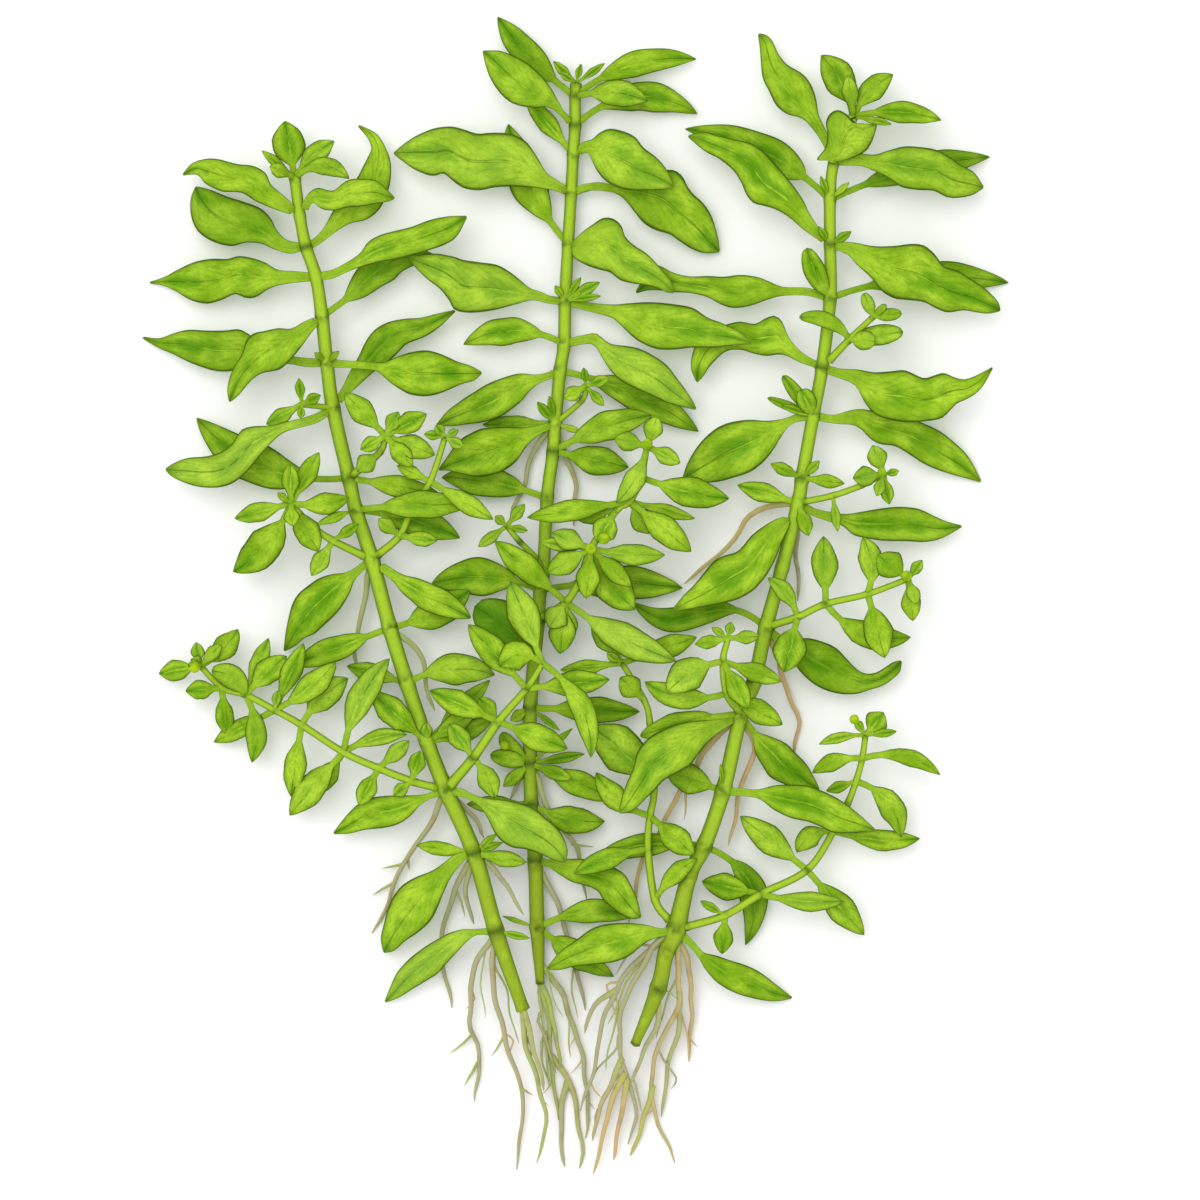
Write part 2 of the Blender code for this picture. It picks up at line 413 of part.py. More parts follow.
# Side shoots. Each starts at a node of its stem, trimmed to the stem's surface, and carries
# its own small leaves: point of the axis, across, along, width, bow, middle, tip.
SHOOTS = {
    "shoot_left_7": {
        "stem": "stem_left",
        "node": 7,
        "axis": ((-50.2, 24.4, 9.5), (-43.8, 29.4, 15.0), (-42.6, 32.6, 17.0)),
        "leaves": (
            (1, -4.6, -3.8, 4.0, 0.0, 15.5, 13.5),
            (2, -8.2, 8.6, 4.8, 0.0, 18.0, 16.0),
            (2, 2.6, 4.8, 3.2, 0.0, 18.5, 18.0),
            (2, 8.2, 4.4, 4.4, 0.0, 18.5, 17.5),
            (2, 9.8, -3.8, 4.8, 0.0, 17.5, 16.0),
            (2, 5.4, -6.2, 4.0, 0.0, 18.0, 17.0),
            (2, -5.0, -2.8, 3.2, 0.0, 18.0, 17.5),
        ),
    },
    "shoot_left_9_l": {
        "stem": "stem_left",
        "node": 9,
        "axis": (
            (-45.6, 8.0, 9.5),
            (-53.2, 11.8, 12.0),
            (-57.2, 14.6, 14.0),
            (-61.4, 19.2, 16.5),
        ),
        "leaves": (
            (1, 5.2, 3.4, 2.4, 0.0, 13.5, 14.0),
            (1, -4.4, -7.0, 3.6, 0.0, 12.5, 11.5),
            (2, 7.4, 3.0, 2.0, 0.0, 15.5, 16.0),
            (3, 0.0, 7.8, 3.6, 0.0, 19.0, 20.0),
            (3, 5.6, 10.2, 4.0, 0.0, 17.5, 17.0),
            (3, 11.6, 1.2, 4.4, -0.8, 17.0, 16.0),
            (3, -11.4, -3.0, 4.0, 0.0, 16.0, 14.0),
            (3, -12.0, -13.6, 7.2, 0.0, 13.5, 9.0),
            (3, 0.4, -4.6, 3.2, 0.0, 18.5, 19.0),
            (3, 5.0, -9.6, 4.4, 0.0, 15.0, 14.0),
            (3, -2.6, 2.0, 1.6, 0.0, 18.0, 19.0),
        ),
    },
    "shoot_left_9_r": {
        "stem": "stem_left",
        "node": 9,
        "axis": (
            (-45.6, 8.0, 9.0),
            (-40.0, 12.8, 10.5),
            (-37.6, 18.0, 11.8),
            (-33.8, 23.6, 14.5),
            (-30.8, 32.4, 15.5),
        ),
        "leaves": (
            (1, -4.2, 3.4, 3.2, 0.0, 12.0, 12.5),
            (1, 7.6, -1.0, 3.2, 0.0, 13.5, 14.0),
            (3, -6.6, 3.2, 2.8, 0.0, 15.5, 15.0),
            (3, 12.6, -7.6, 4.0, 0.0, 16.0, 15.0),
            (4, -1.8, 2.4, 2.4, 0.0, 16.5, 17.0),
            (4, 3.6, -2.0, 2.4, 0.0, 16.5, 17.0),
            (4, -4.2, 0.6, 2.0, 0.0, 16.5, 17.0),
            (4, 2.6, 1.4, 1.6, 0.0, 16.5, 17.5),
        ),
    },
    "branch_left": {
        "stem": "stem_left",
        "node": 13,
        "axis": (
            (-30.8, -38.0, 8.5),
            (-37.6, -36.2, 10.0),
            (-44.2, -33.6, 10.5),
            (-51.2, -30.4, 10.5),
            (-59.6, -25.0, 9.5),
            (-65.0, -22.0, 9.0),
            (-70.8, -19.0, 8.0),
            (-75.6, -17.6, 7.5),
            (-80.0, -13.2, 7.0),
        ),
        "leaves": (
            (1, 1.8, 6.2, 3.6, 0.0, 11.5, 12.5),
            (1, -3.6, -2.8, 2.8, 0.0, 11.0, 11.0),
            (2, 6.2, 5.6, 3.4, 0.0, 11.5, 12.0),
            (2, -4.0, -7.4, 4.0, 0.0, 11.5, 11.0),
            (3, 12.8, 3.6, 3.4, 1.0, 11.5, 12.0),
            (3, -6.0, -8.6, 4.4, 0.0, 8.0, 6.0),
            (3, 9.4, 18.8, 5.6, 1.6, 15.0, 15.0),
            (3, -11.0, -12.8, 5.8, -0.2, 10.0, 6.0),
            (4, 9.4, 9.4, 5.8, 1.0, 10.5, 11.0),
            (4, -2.2, -14.4, 4.6, 0.0, 11.0, 8.0),
            (5, 12.4, 9.6, 5.2, -0.8, 12.0, 12.5),
            (5, 5.8, 13.4, 4.2, 0.0, 9.0, 8.0),
            (5, 0.8, 4.0, 2.0, 0.0, 11.0, 12.0),
            (5, -12.6, -6.6, 4.0, 0.0, 6.0, 3.0),
            (6, 8.2, 7.8, 5.2, 0.4, 8.5, 8.0),
            (6, 1.0, -13.6, 4.4, 1.5, 8.0, 6.0),
            (6, 4.4, 11.4, 3.6, 0.0, 7.0, 5.0),
            (7, 0.8, -9.6, 3.8, 0.0, 7.0, 4.0),
            (7, -7.4, -0.6, 4.0, 0.0, 8.0, 7.0),
            (7, 6.4, 2.0, 6.4, 0.8, 10.0, 10.5),
            (8, -8.6, -1.6, 4.4, 0.0, 6.0, 3.0),
            (8, -0.8, 4.8, 2.8, 0.0, 8.0, 8.0),
            (8, 4.4, 4.4, 2.8, 0.0, 9.0, 9.5),
            (8, 7.6, 7.4, 4.8, -0.8, 8.0, 7.5),
            (8, -1.6, 1.4, 3.2, 0.0, 9.5, 11.0),
        ),
    },
    "shoot_left_13": {
        "stem": "stem_left",
        "node": 13,
        "axis": (
            (-30.8, -38.0, 9.5),
            (-25.2, -31.4, 13.0),
            (-20.2, -24.2, 14.5),
            (-14.6, -17.6, 16.0),
            (-11.4, -12.6, 17.0),
        ),
        "leaves": (
            (1, -4.8, 6.8, 4.4, 0.0, 14.0, 14.5),
            (1, 4.2, -8.2, 4.4, 0.6, 13.0, 12.5),
            (2, -13.8, 6.2, 5.2, 0.0, 14.0, 14.0),
            (2, 13.8, -5.4, 5.6, 0.0, 16.5, 17.0),
            (2, -4.0, 4.8, 3.8, 0.0, 13.0, 12.5),
            (3, -11.6, 12.8, 5.6, 0.0, 18.5, 18.0),
            (3, 16.6, 1.8, 5.2, 0.0, 16.0, 15.0),
            (4, 9.6, -18.8, 4.8, 3.0, 19.5, 18.0),
            (4, -7.2, -0.2, 5.2, -1.4, 18.5, 19.5),
            (4, -13.8, 12.2, 6.8, 0.0, 16.0, 15.0),
            (4, -6.4, 16.4, 6.4, 0.0, 18.5, 17.5),
        ),
    },
    "branch_middle": {
        "stem": "stem_middle",
        "node": 14,
        "axis": (
            (-12.4, -4.0, 5.0),
            (-6.8, -0.4, 10.0),
            (-4.0, 4.0, 12.0),
            (-1.8, 10.2, 13.5),
            (3.2, 17.8, 13.5),
            (6.0, 19.6, 13.5),
            (8.2, 24.4, 13.5),
            (9.4, 30.6, 13.5),
        ),
        "leaves": (
            (1, -14.2, 12.2, 5.4, 0.0, 13.0, 14.0),
            (1, 22.0, -11.8, 6.4, -1.0, 13.5, 15.0),
            (1, -3.4, -5.2, 5.2, 0.0, 11.5, 12.0),
            (1, -1.2, -9.6, 4.4, 0.0, 11.0, 11.5),
            (1, 1.0, -7.4, 3.6, 0.0, 10.0, 9.5),
            (3, -7.8, 3.2, 4.4, 0.0, 15.0, 15.0),
            (3, -10.4, 1.4, 2.8, 0.0, 14.0, 14.0),
            (3, 14.8, -1.2, 4.4, -0.5, 14.5, 14.0),
            (3, -8.8, -4.8, 4.8, 0.0, 14.5, 14.0),
            (3, 8.0, -7.6, 4.0, 0.0, 14.0, 13.5),
            (3, -1.0, -10.0, 4.8, 0.0, 15.0, 15.5),
            (3, 8.4, -11.4, 6.0, 0.0, 12.0, 11.0),
            (4, -3.8, -6.4, 5.2, 0.0, 15.5, 16.0),
            (4, -8.6, -1.0, 4.4, 0.0, 13.0, 12.0),
            (5, -20.6, -3.2, 4.4, 0.0, 15.0, 14.0),
            (5, 12.2, -10.0, 5.6, 0.0, 14.5, 14.0),
            (5, 13.0, -3.4, 2.8, 0.0, 12.5, 12.0),
            (5, 4.0, -6.4, 4.8, 0.0, 12.5, 12.0),
            (6, 17.6, -4.2, 6.2, -0.6, 13.5, 12.0),
            (7, -6.2, -11.4, 4.4, 1.0, 16.5, 16.0),
            (7, 2.0, 6.0, 4.0, 0.0, 14.0, 14.0),
            (7, 6.6, -3.4, 3.6, 0.0, 15.0, 15.0),
            (7, -6.6, 1.6, 4.0, 0.0, 14.0, 14.0),
        ),
    },
    "shoot_right_5": {
        "stem": "stem_right",
        "node": 5,
        "axis": ((44.4, 46.4, 9.5), (49.8, 52.0, 12.5), (54.4, 56.4, 15.0)),
        "leaves": (
            (1, 10.6, 1.4, 4.2, 0.0, 14.0, 14.0),
            (1, 5.0, -0.6, 4.0, 0.0, 15.0, 16.0),
            (1, -10.2, 4.2, 3.2, -1.6, 14.5, 15.0),
            (2, -2.0, 4.6, 2.6, 0.0, 16.0, 17.0),
            (2, 5.6, 0.6, 2.6, 0.0, 16.0, 16.5),
            (2, 2.4, 2.2, 1.6, 0.0, 16.0, 17.5),
        ),
    },
    "shoot_right_8": {
        "stem": "stem_right",
        "node": 8,
        "axis": ((39.6, 19.4, 10.0), (46.4, 20.8, 12.5), (52.0, 22.8, 14.0), (56.4, 25.0, 15.0)),
        "leaves": (
            (1, 1.0, -7.2, 2.0, 0.0, 13.0, 12.5),
            (3, -2.2, 5.8, 4.0, 0.0, 16.0, 16.0),
            (3, -6.2, -0.8, 4.2, 0.0, 16.5, 17.0),
            (3, -1.4, -4.4, 2.4, 0.0, 16.5, 17.0),
            (3, 1.2, -6.0, 2.8, 0.0, 15.0, 14.5),
            (3, 3.0, 0.6, 1.6, 0.0, 16.0, 17.0),
        ),
    },
    "branch_right": {
        "stem": "stem_right",
        "node": 10,
        "axis": (
            (33.2, -5.4, 10.0),
            (39.4, -3.4, 12.0),
            (45.0, -0.8, 12.0),
            (53.4, 1.2, 12.0),
            (61.4, 4.2, 12.5),
        ),
        "leaves": (
            (1, -6.0, 7.8, 3.6, -1.0, 14.0, 14.0),
            (1, -2.8, -11.0, 6.8, 0.0, 14.5, 15.0),
            (2, -0.4, 13.6, 5.4, 0.0, 12.5, 11.0),
            (2, 17.2, -6.6, 5.6, -1.4, 10.0, 8.5),
            (3, -1.0, 11.4, 5.0, -1.2, 12.5, 12.0),
            (3, 3.4, -12.8, 6.0, 0.0, 12.5, 12.0),
            (4, -6.2, 4.8, 5.8, 0.0, 13.5, 13.5),
            (4, 2.8, 3.8, 2.4, 0.0, 13.5, 14.0),
            (4, 1.0, -8.4, 4.0, 0.0, 13.0, 12.5),
            (4, 1.6, -5.0, 2.8, 0.0, 14.5, 15.5),
        ),
    },
    "shoot_right_12": {
        "stem": "stem_right",
        "node": 12,
        "axis": ((28.2, -22.8, 10.0), (25.2, -18.6, 16.0), (24.4, -12.2, 18.0), (25.4, -7.6, 18.5)),
        "leaves": (
            (1, -16.4, 2.4, 5.2, 2.0, 17.0, 17.0),
            (1, 11.2, -6.2, 4.8, 0.0, 16.0, 15.0),
            (2, -11.2, -6.2, 6.8, -1.2, 19.5, 20.0),
            (2, 5.0, -9.4, 4.4, 0.0, 19.5, 20.0),
            (2, 11.8, -4.0, 4.0, 0.0, 18.0, 17.0),
            (3, -6.6, -1.2, 2.8, 0.0, 19.5, 19.5),
            (3, 6.2, 0.4, 2.8, 0.0, 19.5, 19.5),
            (3, 0.6, 3.2, 2.0, 0.0, 19.5, 20.5),
            (3, -3.2, 2.2, 1.6, 0.0, 19.5, 20.5),
        ),
    },
    "shoot_slender": {
        "stem": "stem_right",
        "node": 16,
        "axis": (
            (15.2, -66.0, 8.0),
            (11.0, -60.0, 8.0),
            (9.6, -49.8, 8.0),
            (10.0, -43.2, 8.5),
            (10.8, -38.0, 8.5),
            (10.0, -24.8, 8.5),
            (8.8, -20.0, 8.5),
            (4.4, -12.6, 8.5),
        ),
        "leaves": (
            (1, 8.4, 8.4, 3.8, 0.9, 11.0, 12.0),
            (2, -14.8, -4.8, 4.4, -0.8, 11.5, 12.0),
            (3, 8.8, -7.6, 5.4, 0.0, 12.0, 13.0),
            (3, -10.8, 8.8, 4.8, 1.5, 9.5, 9.5),
            (4, -12.6, 12.8, 9.0, -1.0, 10.5, 10.0),
            (6, -4.8, 4.6, 4.8, 0.0, 9.5, 10.0),
            (7, -5.8, 9.0, 4.8, 0.0, 9.0, 8.5),
            (7, 15.0, 5.2, 4.8, 0.0, 9.0, 9.0),
            (7, -12.4, -1.4, 3.0, 0.0, 9.5, 9.5),
            (7, -3.0, 2.0, 2.0, 0.0, 10.0, 11.0),
        ),
    },
    "branch_right_lower": {
        "stem": "stem_right",
        "node": 16,
        "axis": (
            (15.2, -66.0, 8.5),
            (25.0, -63.0, 9.5),
            (32.0, -58.8, 9.5),
            (41.4, -54.0, 8.5),
            (46.8, -46.2, 7.0),
            (49.6, -40.6, 8.0),
            (51.2, -36.2, 9.0),
            (52.4, -31.6, 10.0),
            (53.0, -27.0, 10.5),
        ),
        "leaves": (
            (1, -5.0, 3.0, 1.8, 0.0, 11.0, 12.0),
            (1, -0.6, -7.8, 3.0, 0.0, 9.5, 9.0),
            (2, 16.8, -1.4, 4.0, -0.6, 10.5, 10.0),
            (2, -11.6, 2.4, 4.4, 0.0, 6.5, 5.0),
            (3, -13.4, 10.8, 5.6, 0.0, 8.5, 8.0),
            (3, 11.6, -13.2, 5.6, 0.0, 8.0, 5.0),
            (4, 17.4, -1.6, 4.4, -1.0, 6.5, 5.0),
            (4, -7.4, -4.4, 4.4, -1.4, 6.5, 6.0),
            (6, -6.0, -2.0, 2.4, 0.0, 9.5, 9.0),
            (6, 9.0, -11.4, 5.2, 2.4, 9.5, 7.5),
            (7, -10.0, -3.0, 3.6, -1.0, 11.0, 10.0),
            (7, 15.6, -3.4, 3.4, 2.2, 11.5, 10.0),
            (8, 3.6, 4.6, 4.8, 0.0, 11.5, 11.0),
            (8, -2.2, 3.2, 1.8, 0.0, 12.0, 12.5),
            (8, -9.4, -1.8, 2.2, -0.6, 12.5, 12.5),
            (8, 6.2, 0.8, 1.8, 0.0, 12.0, 12.5),
        ),
    },
}

# Three very small shoots that are one with their stem: the twig, then the leaves at its end.
TINY_SHOOTS = (
    {
        "stem": "stem_left",
        "axis": ((-53.4, 38.4, 8.5), (-59.4, 39.0, 12.5)),
        "leaves": (
            (-0.6, 5.2, 2.0, 0.0, 13.5, 14.0),
            (3.8, 1.8, 2.4, 0.0, 14.0, 14.5),
            (-7.2, -4.0, 3.2, 0.0, 12.5, 12.0),
            (-0.2, -2.8, 1.6, 0.0, 13.5, 14.5),
        ),
    },
    {
        "stem": "stem_middle",
        "axis": ((-9.0, 35.4, 4.0), (-3.6, 40.0, 6.5), (-2.8, 42.8, 8.0)),
        "leaves": (
            (-0.4, 3.6, 1.6, 0.0, 9.0, 10.0),
            (4.6, 1.6, 2.4, 0.0, 9.0, 9.5),
            (3.6, -4.0, 2.0, 0.0, 8.5, 8.5),
            (-4.4, -2.6, 3.2, 0.0, 9.0, 9.5),
        ),
    },
    {
        "stem": "stem_middle",
        "axis": ((-11.4, 5.4, 4.0), (-12.8, 8.4, 7.0), (-16.0, 11.6, 8.5), (-18.6, 14.8, 9.0)),
        "leaves": (
            (3.6, 4.4, 2.4, 0.0, 10.0, 10.5),
            (-2.4, 2.0, 2.0, 0.0, 10.0, 10.5),
            (-5.8, -4.2, 2.4, 0.0, 9.0, 8.5),
            (4.2, -1.0, 1.6, 0.0, 10.0, 10.5),
        ),
    },
)

# The one large leaf that starts in front of its stem rather than beside it.
FRONT_LEAF = "leaf_right_1_front"

# The outline of each leaf that is a piece of its own, across and along: its left edge and its
# right edge, as seen going from the end of its stalk to its tip.
LEAF_OUTLINES = {
    "leaf_left_1_l": (
        (
            (-63.2, 77.6), (-66, 78.6), (-68.8, 79.8), (-71.4, 81.4), (-75.6, 81.8),
            (-78.8, 83.4), (-80.6, 85.2), (-83.6, 85.2),
        ),
        (
            (-62.8, 80.2), (-65.6, 82.6), (-66.8, 85), (-69.2, 86.4), (-72.4, 86.8), (-76, 87.8),
            (-78.6, 88), (-81.6, 87.2), (-83.6, 85.2),
        ),
    ),
    "leaf_left_1_r": (
        (
            (-58, 81), (-56.2, 82), (-53.2, 81.4), (-50.4, 83.4), (-47.6, 83.8), (-44.6, 83.4),
            (-42.6, 81.8), (-41, 80.2),
        ),
        (
            (-57.4, 79.4), (-55.6, 78.2), (-53.2, 77.8), (-50.4, 78.4), (-47.4, 78.6),
            (-44.4, 79.2), (-42.4, 79.6), (-41, 80.2),
        ),
    ),
    "leaf_left_2_l": (
        (
            (-61.8, 69.4), (-64.8, 70.2), (-67.6, 71.4), (-70.8, 71.6), (-74, 71), (-77.6, 72),
            (-80.4, 74), (-81.8, 77), (-82, 80.4), (-81.2, 83),
        ),
        (
            (-62.6, 71.8), (-64.6, 73.6), (-66, 76.2), (-68, 78.2), (-71, 79.4), (-74.6, 80.6),
            (-78.4, 82.2), (-81.2, 83),
        ),
    ),
    "leaf_left_2_r": (
        (
            (-57, 72.2), (-55, 74.4), (-53.4, 77.4), (-51, 81), (-48.4, 84.4), (-46.4, 88.4),
            (-45.6, 90.6), (-46.6, 93), (-48.4, 95.2),
        ),
        (
            (-56, 71.4), (-52.8, 73.8), (-50, 75.4), (-46.8, 76.2), (-44.2, 78.4), (-42.4, 82.4),
            (-42, 86.4), (-42.6, 89.4), (-44.8, 93.2), (-48.4, 95.2),
        ),
    ),
    "leaf_left_3_l": (
        (
            (-62.6, 63.4), (-65.8, 62.6), (-68.8, 60.8), (-70.8, 60.6), (-73, 61.4), (-76, 60.2),
            (-79, 59.6), (-82.2, 60.4), (-85.2, 62.2), (-88, 63.4), (-90.6, 63.8),
        ),
        (
            (-61.6, 65.6), (-64.4, 65.8), (-66.8, 67.2), (-69.6, 68.2), (-72.4, 68.6),
            (-74.6, 68), (-78.4, 68), (-81.6, 67.4), (-84.8, 66), (-87.6, 64.6), (-90.6, 63.8),
        ),
    ),
    "leaf_left_3_r": (
        (
            (-53.4, 65.8), (-50.2, 67.4), (-47.8, 69), (-46.2, 71.2), (-43.8, 72.6),
            (-40.8, 73.4), (-37.6, 74.2), (-34, 75.6), (-30.2, 76.4), (-26.6, 76.6),
        ),
        (
            (-53.4, 64.4), (-51, 65.4), (-48, 66.6), (-44, 67.6), (-39.6, 68.4), (-34.6, 69.8),
            (-30.8, 71.2), (-28.6, 72.8), (-26.6, 76.6),
        ),
    ),
    "leaf_left_4_l": (
        (
            (-57.6, 53.6), (-58.8, 51.8), (-60.4, 49.6), (-62, 47.6), (-64, 46), (-67, 45.4),
            (-69, 44.4), (-70.8, 42.6), (-72.4, 40.8), (-74, 39.6),
        ),
        (
            (-59, 55.4), (-61.4, 54), (-64, 54), (-66.6, 53.4), (-69, 52.8), (-70.4, 51.2),
            (-71.2, 48.8), (-72.8, 46.2), (-73.8, 43.8), (-74.2, 41.6), (-74, 39.6),
        ),
    ),
    "leaf_left_5_l": (
        (
            (-59, 46.8), (-62.6, 47.4), (-67, 46.8), (-71.4, 46.6), (-74, 46), (-76.6, 46),
            (-79.6, 46.8), (-82.6, 48), (-85.8, 49.6), (-88.6, 50.8), (-92, 52.8),
        ),
        (
            (-58.4, 48.2), (-62.4, 48.8), (-67, 51), (-70, 52.8), (-72.2, 54), (-74.8, 53.8),
            (-78.4, 53.8), (-82.6, 54), (-85.4, 53.4), (-88.6, 52.4), (-92, 52.8),
        ),
    ),
    "leaf_left_5_r": (
        (
            (-50.4, 47.6), (-46.4, 47.4), (-43.4, 47.2), (-40.8, 48.2), (-37.8, 49.2),
            (-34.6, 49.6), (-31.6, 48.8), (-28.4, 47.4), (-25.8, 46.6), (-23.6, 45.4),
        ),
        (
            (-49, 46.4), (-44.6, 45.8), (-42.8, 44.4), (-40.8, 42.8), (-37.8, 41.2),
            (-34.6, 40.8), (-31.4, 41.6), (-27.8, 43.2), (-25.2, 44), (-23.6, 45.4),
        ),
    ),
    "leaf_left_6_l": (
        (
            (-56.4, 35.6), (-59.6, 34.6), (-62.6, 33.8), (-64.6, 32.4), (-66.6, 30.2),
            (-68.4, 28), (-70.6, 25.4), (-73.4, 23.4), (-76.6, 22.6), (-80.2, 22.8),
            (-83.4, 23.8), (-85.8, 25), (-87, 26.2),
        ),
        (
            (-56.4, 37.2), (-59, 36.2), (-62.2, 35.4), (-65.4, 34.6), (-69, 34.4), (-71.2, 33.8),
            (-72.4, 32.2), (-73.8, 30.4), (-76.2, 29), (-79, 28.4), (-82.2, 28.2), (-84.8, 27.4),
            (-87, 26.2),
        ),
    ),
    "leaf_left_6_r": (
        (
            (-51.4, 42.4), (-50.2, 45), (-48.2, 48.6), (-47.2, 50.8), (-46, 52.8), (-44.4, 54.4),
            (-42, 55.6), (-39, 56.2), (-35.8, 56.4), (-32.6, 57.2), (-29, 58),
        ),
        (
            (-50.2, 41.4), (-47.8, 43.6), (-45.6, 45.6), (-43, 47.4), (-40.8, 49.4),
            (-38.8, 51.4), (-35.8, 52.6), (-33.2, 54.2), (-31.2, 55.8), (-29, 58),
        ),
    ),
    "leaf_left_9_l": (
        (
            (-47.6, 5.8), (-49.2, 4), (-50, 1.8), (-51.2, -0.4), (-53, -2.8), (-55.4, -5),
            (-57.2, -6.6), (-59.4, -7.6), (-61.4, -9.2), (-63.4, -10.2),
        ),
        (
            (-48.4, 6.6), (-50.6, 5.4), (-53.4, 5), (-56, 4.2), (-58.4, 2.6), (-60.4, 0.8),
            (-61.6, -1.4), (-62.4, -4.4), (-63, -7.4), (-63.4, -10.2),
        ),
    ),
    "leaf_left_9_r": (
        (
            (-39.6, 5), (-36.4, 4.2), (-33.4, 3), (-30.4, 1.6), (-28.4, 0), (-26.8, -1.8),
            (-25.8, -3.6),
        ),
        (
            (-41.2, 3.8), (-39.6, 1.8), (-37.6, 0), (-35.6, -1.6), (-32.6, -2.8), (-28.8, -3.6),
            (-25.8, -3.6),
        ),
    ),
    "leaf_left_13_l": (
        (
            (-34, -39.6), (-36, -40.8), (-38, -43), (-40.4, -44.6), (-43.4, -45.4),
            (-47.2, -45.8), (-50.2, -46.6), (-53.4, -46.8),
        ),
        (
            (-34.2, -38.8), (-37.2, -39.2), (-41, -39.2), (-45, -39.6), (-48, -40.8),
            (-50.4, -43), (-52.2, -45.2), (-53.4, -46.8),
        ),
    ),
    "leaf_left_13_r": (
        (
            (-27.2, -38), (-24.8, -39.2), (-21.8, -39.8), (-18.8, -40), (-15.8, -40.6),
            (-13.2, -41.6), (-11, -43.4), (-8.8, -45.4), (-7.4, -47.4), (-6.6, -49.8),
            (-6.8, -52.2),
        ),
        (
            (-26.6, -39.4), (-24.2, -40.8), (-22.6, -42.8), (-21.4, -45.2), (-20, -47.4),
            (-17.6, -49), (-14.2, -49.6), (-11, -50.8), (-8.4, -52), (-6.8, -52.2),
        ),
    ),
    "leaf_left_14_l": (
        (
            (-26.6, -51.4), (-28.2, -53), (-30, -55.4), (-31.4, -58.4), (-32.6, -61.2),
            (-34.2, -64.2), (-36.6, -66.4), (-39.2, -68.2), (-41.4, -70.2), (-43.4, -70.8),
        ),
        (
            (-27.4, -50.6), (-29, -51), (-31, -52.6), (-33.4, -54.2), (-36.4, -55.4),
            (-39.2, -57), (-41.2, -59.4), (-42.4, -62.2), (-43.2, -65.2), (-43.8, -68),
            (-43.4, -70.8),
        ),
    ),
    "leaf_left_15_l": (
        (
            (-24.6, -66.8), (-26.8, -68.2), (-28.8, -70.4), (-31, -72.8), (-32.6, -74.6),
            (-35, -76.2), (-37.6, -77.8), (-40.4, -79.6), (-43.2, -80.8),
        ),
        (
            (-24, -66), (-27.2, -66), (-29.6, -66.6), (-32, -67.8), (-35, -69.6), (-38, -72),
            (-40.4, -74.6), (-41.8, -77.4), (-43.2, -80.8),
        ),
    ),
    "leaf_middle_2_l": (
        (
            (-7, 96.2), (-8.8, 98), (-10.6, 98.8), (-12.8, 98.6), (-15.4, 98.8), (-17.8, 99.6),
            (-20, 101.6), (-21.8, 104.4), (-22.8, 107.2), (-23.4, 109.8),
        ),
        (
            (-6.8, 97), (-8.2, 99.2), (-9.8, 102), (-11.8, 104.6), (-14.2, 106.8), (-17, 108.4),
            (-20, 109.6), (-23.4, 109.8),
        ),
    ),
    "leaf_middle_3_r": (
        (
            (-3.2, 91.6), (-1.6, 92), (-0.2, 93.2), (2, 94), (4.8, 93.4), (7, 92.2), (8.6, 90.2),
            (11, 88.4), (12.8, 86.4), (14.2, 84.2), (14.8, 82.6),
        ),
        (
            (-2.8, 89.8), (-1.8, 88.6), (-0.8, 86.4), (1, 84), (3.4, 82.6), (6, 82), (9.2, 82),
            (12.2, 82.2), (14.8, 82.6),
        ),
    ),
    "leaf_middle_4_l": (
        (
            (-9, 82.2), (-12, 82.6), (-14.6, 82.8), (-17.8, 82.8), (-20.8, 82.6), (-24, 82),
            (-27, 82.4), (-29.2, 83.8), (-31.2, 85.4), (-32.8, 85), (-34.6, 85.2), (-37.2, 86.4),
            (-39.4, 88), (-41.4, 89.6),
        ),
        (
            (-8.8, 84), (-10.8, 85.4), (-12.4, 88), (-14.6, 91.2), (-17.2, 92.8), (-19.6, 93.2),
            (-22.2, 93.2), (-24.6, 93), (-27.2, 93.8), (-29.6, 94.4), (-32.8, 94.2),
            (-35.8, 93.2), (-38.4, 91.8), (-41.4, 89.6),
        ),
    ),
    "leaf_middle_4_r": (
        (
            (-3.2, 83.2), (-0.2, 83.6), (2.4, 83.2), (6, 83.4), (9.6, 84.8), (12.2, 85.8),
            (14.6, 86), (16.4, 84.8), (17.4, 82.8), (18.6, 81.2), (20.4, 79.6), (22, 77.4),
            (23, 74.8), (23.6, 72.4), (24, 70),
        ),
        (
            (-2.8, 82.2), (0.4, 82.2), (3.4, 81.6), (5.4, 80), (7.2, 77.6), (9.2, 75.4),
            (11.6, 74.2), (14.2, 73.4), (16.2, 72), (18.6, 70.6), (21.2, 69.8), (24, 70),
        ),
    ),
    "leaf_middle_5_r": (
        (
            (-5.2, 73.6), (-3.2, 73.8), (-1.4, 75), (0.6, 76.2), (2.6, 76), (4.2, 74.6),
            (5, 72.4), (6.8, 70.6), (9.2, 69), (11, 67.2), (12.6, 65.4), (14.2, 63.4),
            (14.8, 61.4),
        ),
        (
            (-5.2, 68.8), (-2.8, 67.2), (-0.2, 66.2), (2, 65.6), (3.8, 64.2), (6.2, 63.4),
            (9.2, 63), (11.6, 62.4), (13.4, 61.6), (14.8, 61.4),
        ),
    ),
    "leaf_middle_6_l": (
        (
            (-10.4, 59.6), (-13.4, 60.2), (-16.6, 59.4), (-20.2, 58.4), (-23.4, 57.8),
            (-26.6, 57.6), (-29, 58.2), (-30.2, 60.2), (-32, 62.4), (-34.6, 64.4), (-36.8, 66.6),
            (-38.6, 68.8),
        ),
        (
            (-9.6, 60.6), (-12, 61.6), (-14, 62.2), (-16, 63.8), (-18.4, 65.6), (-20.8, 66.8),
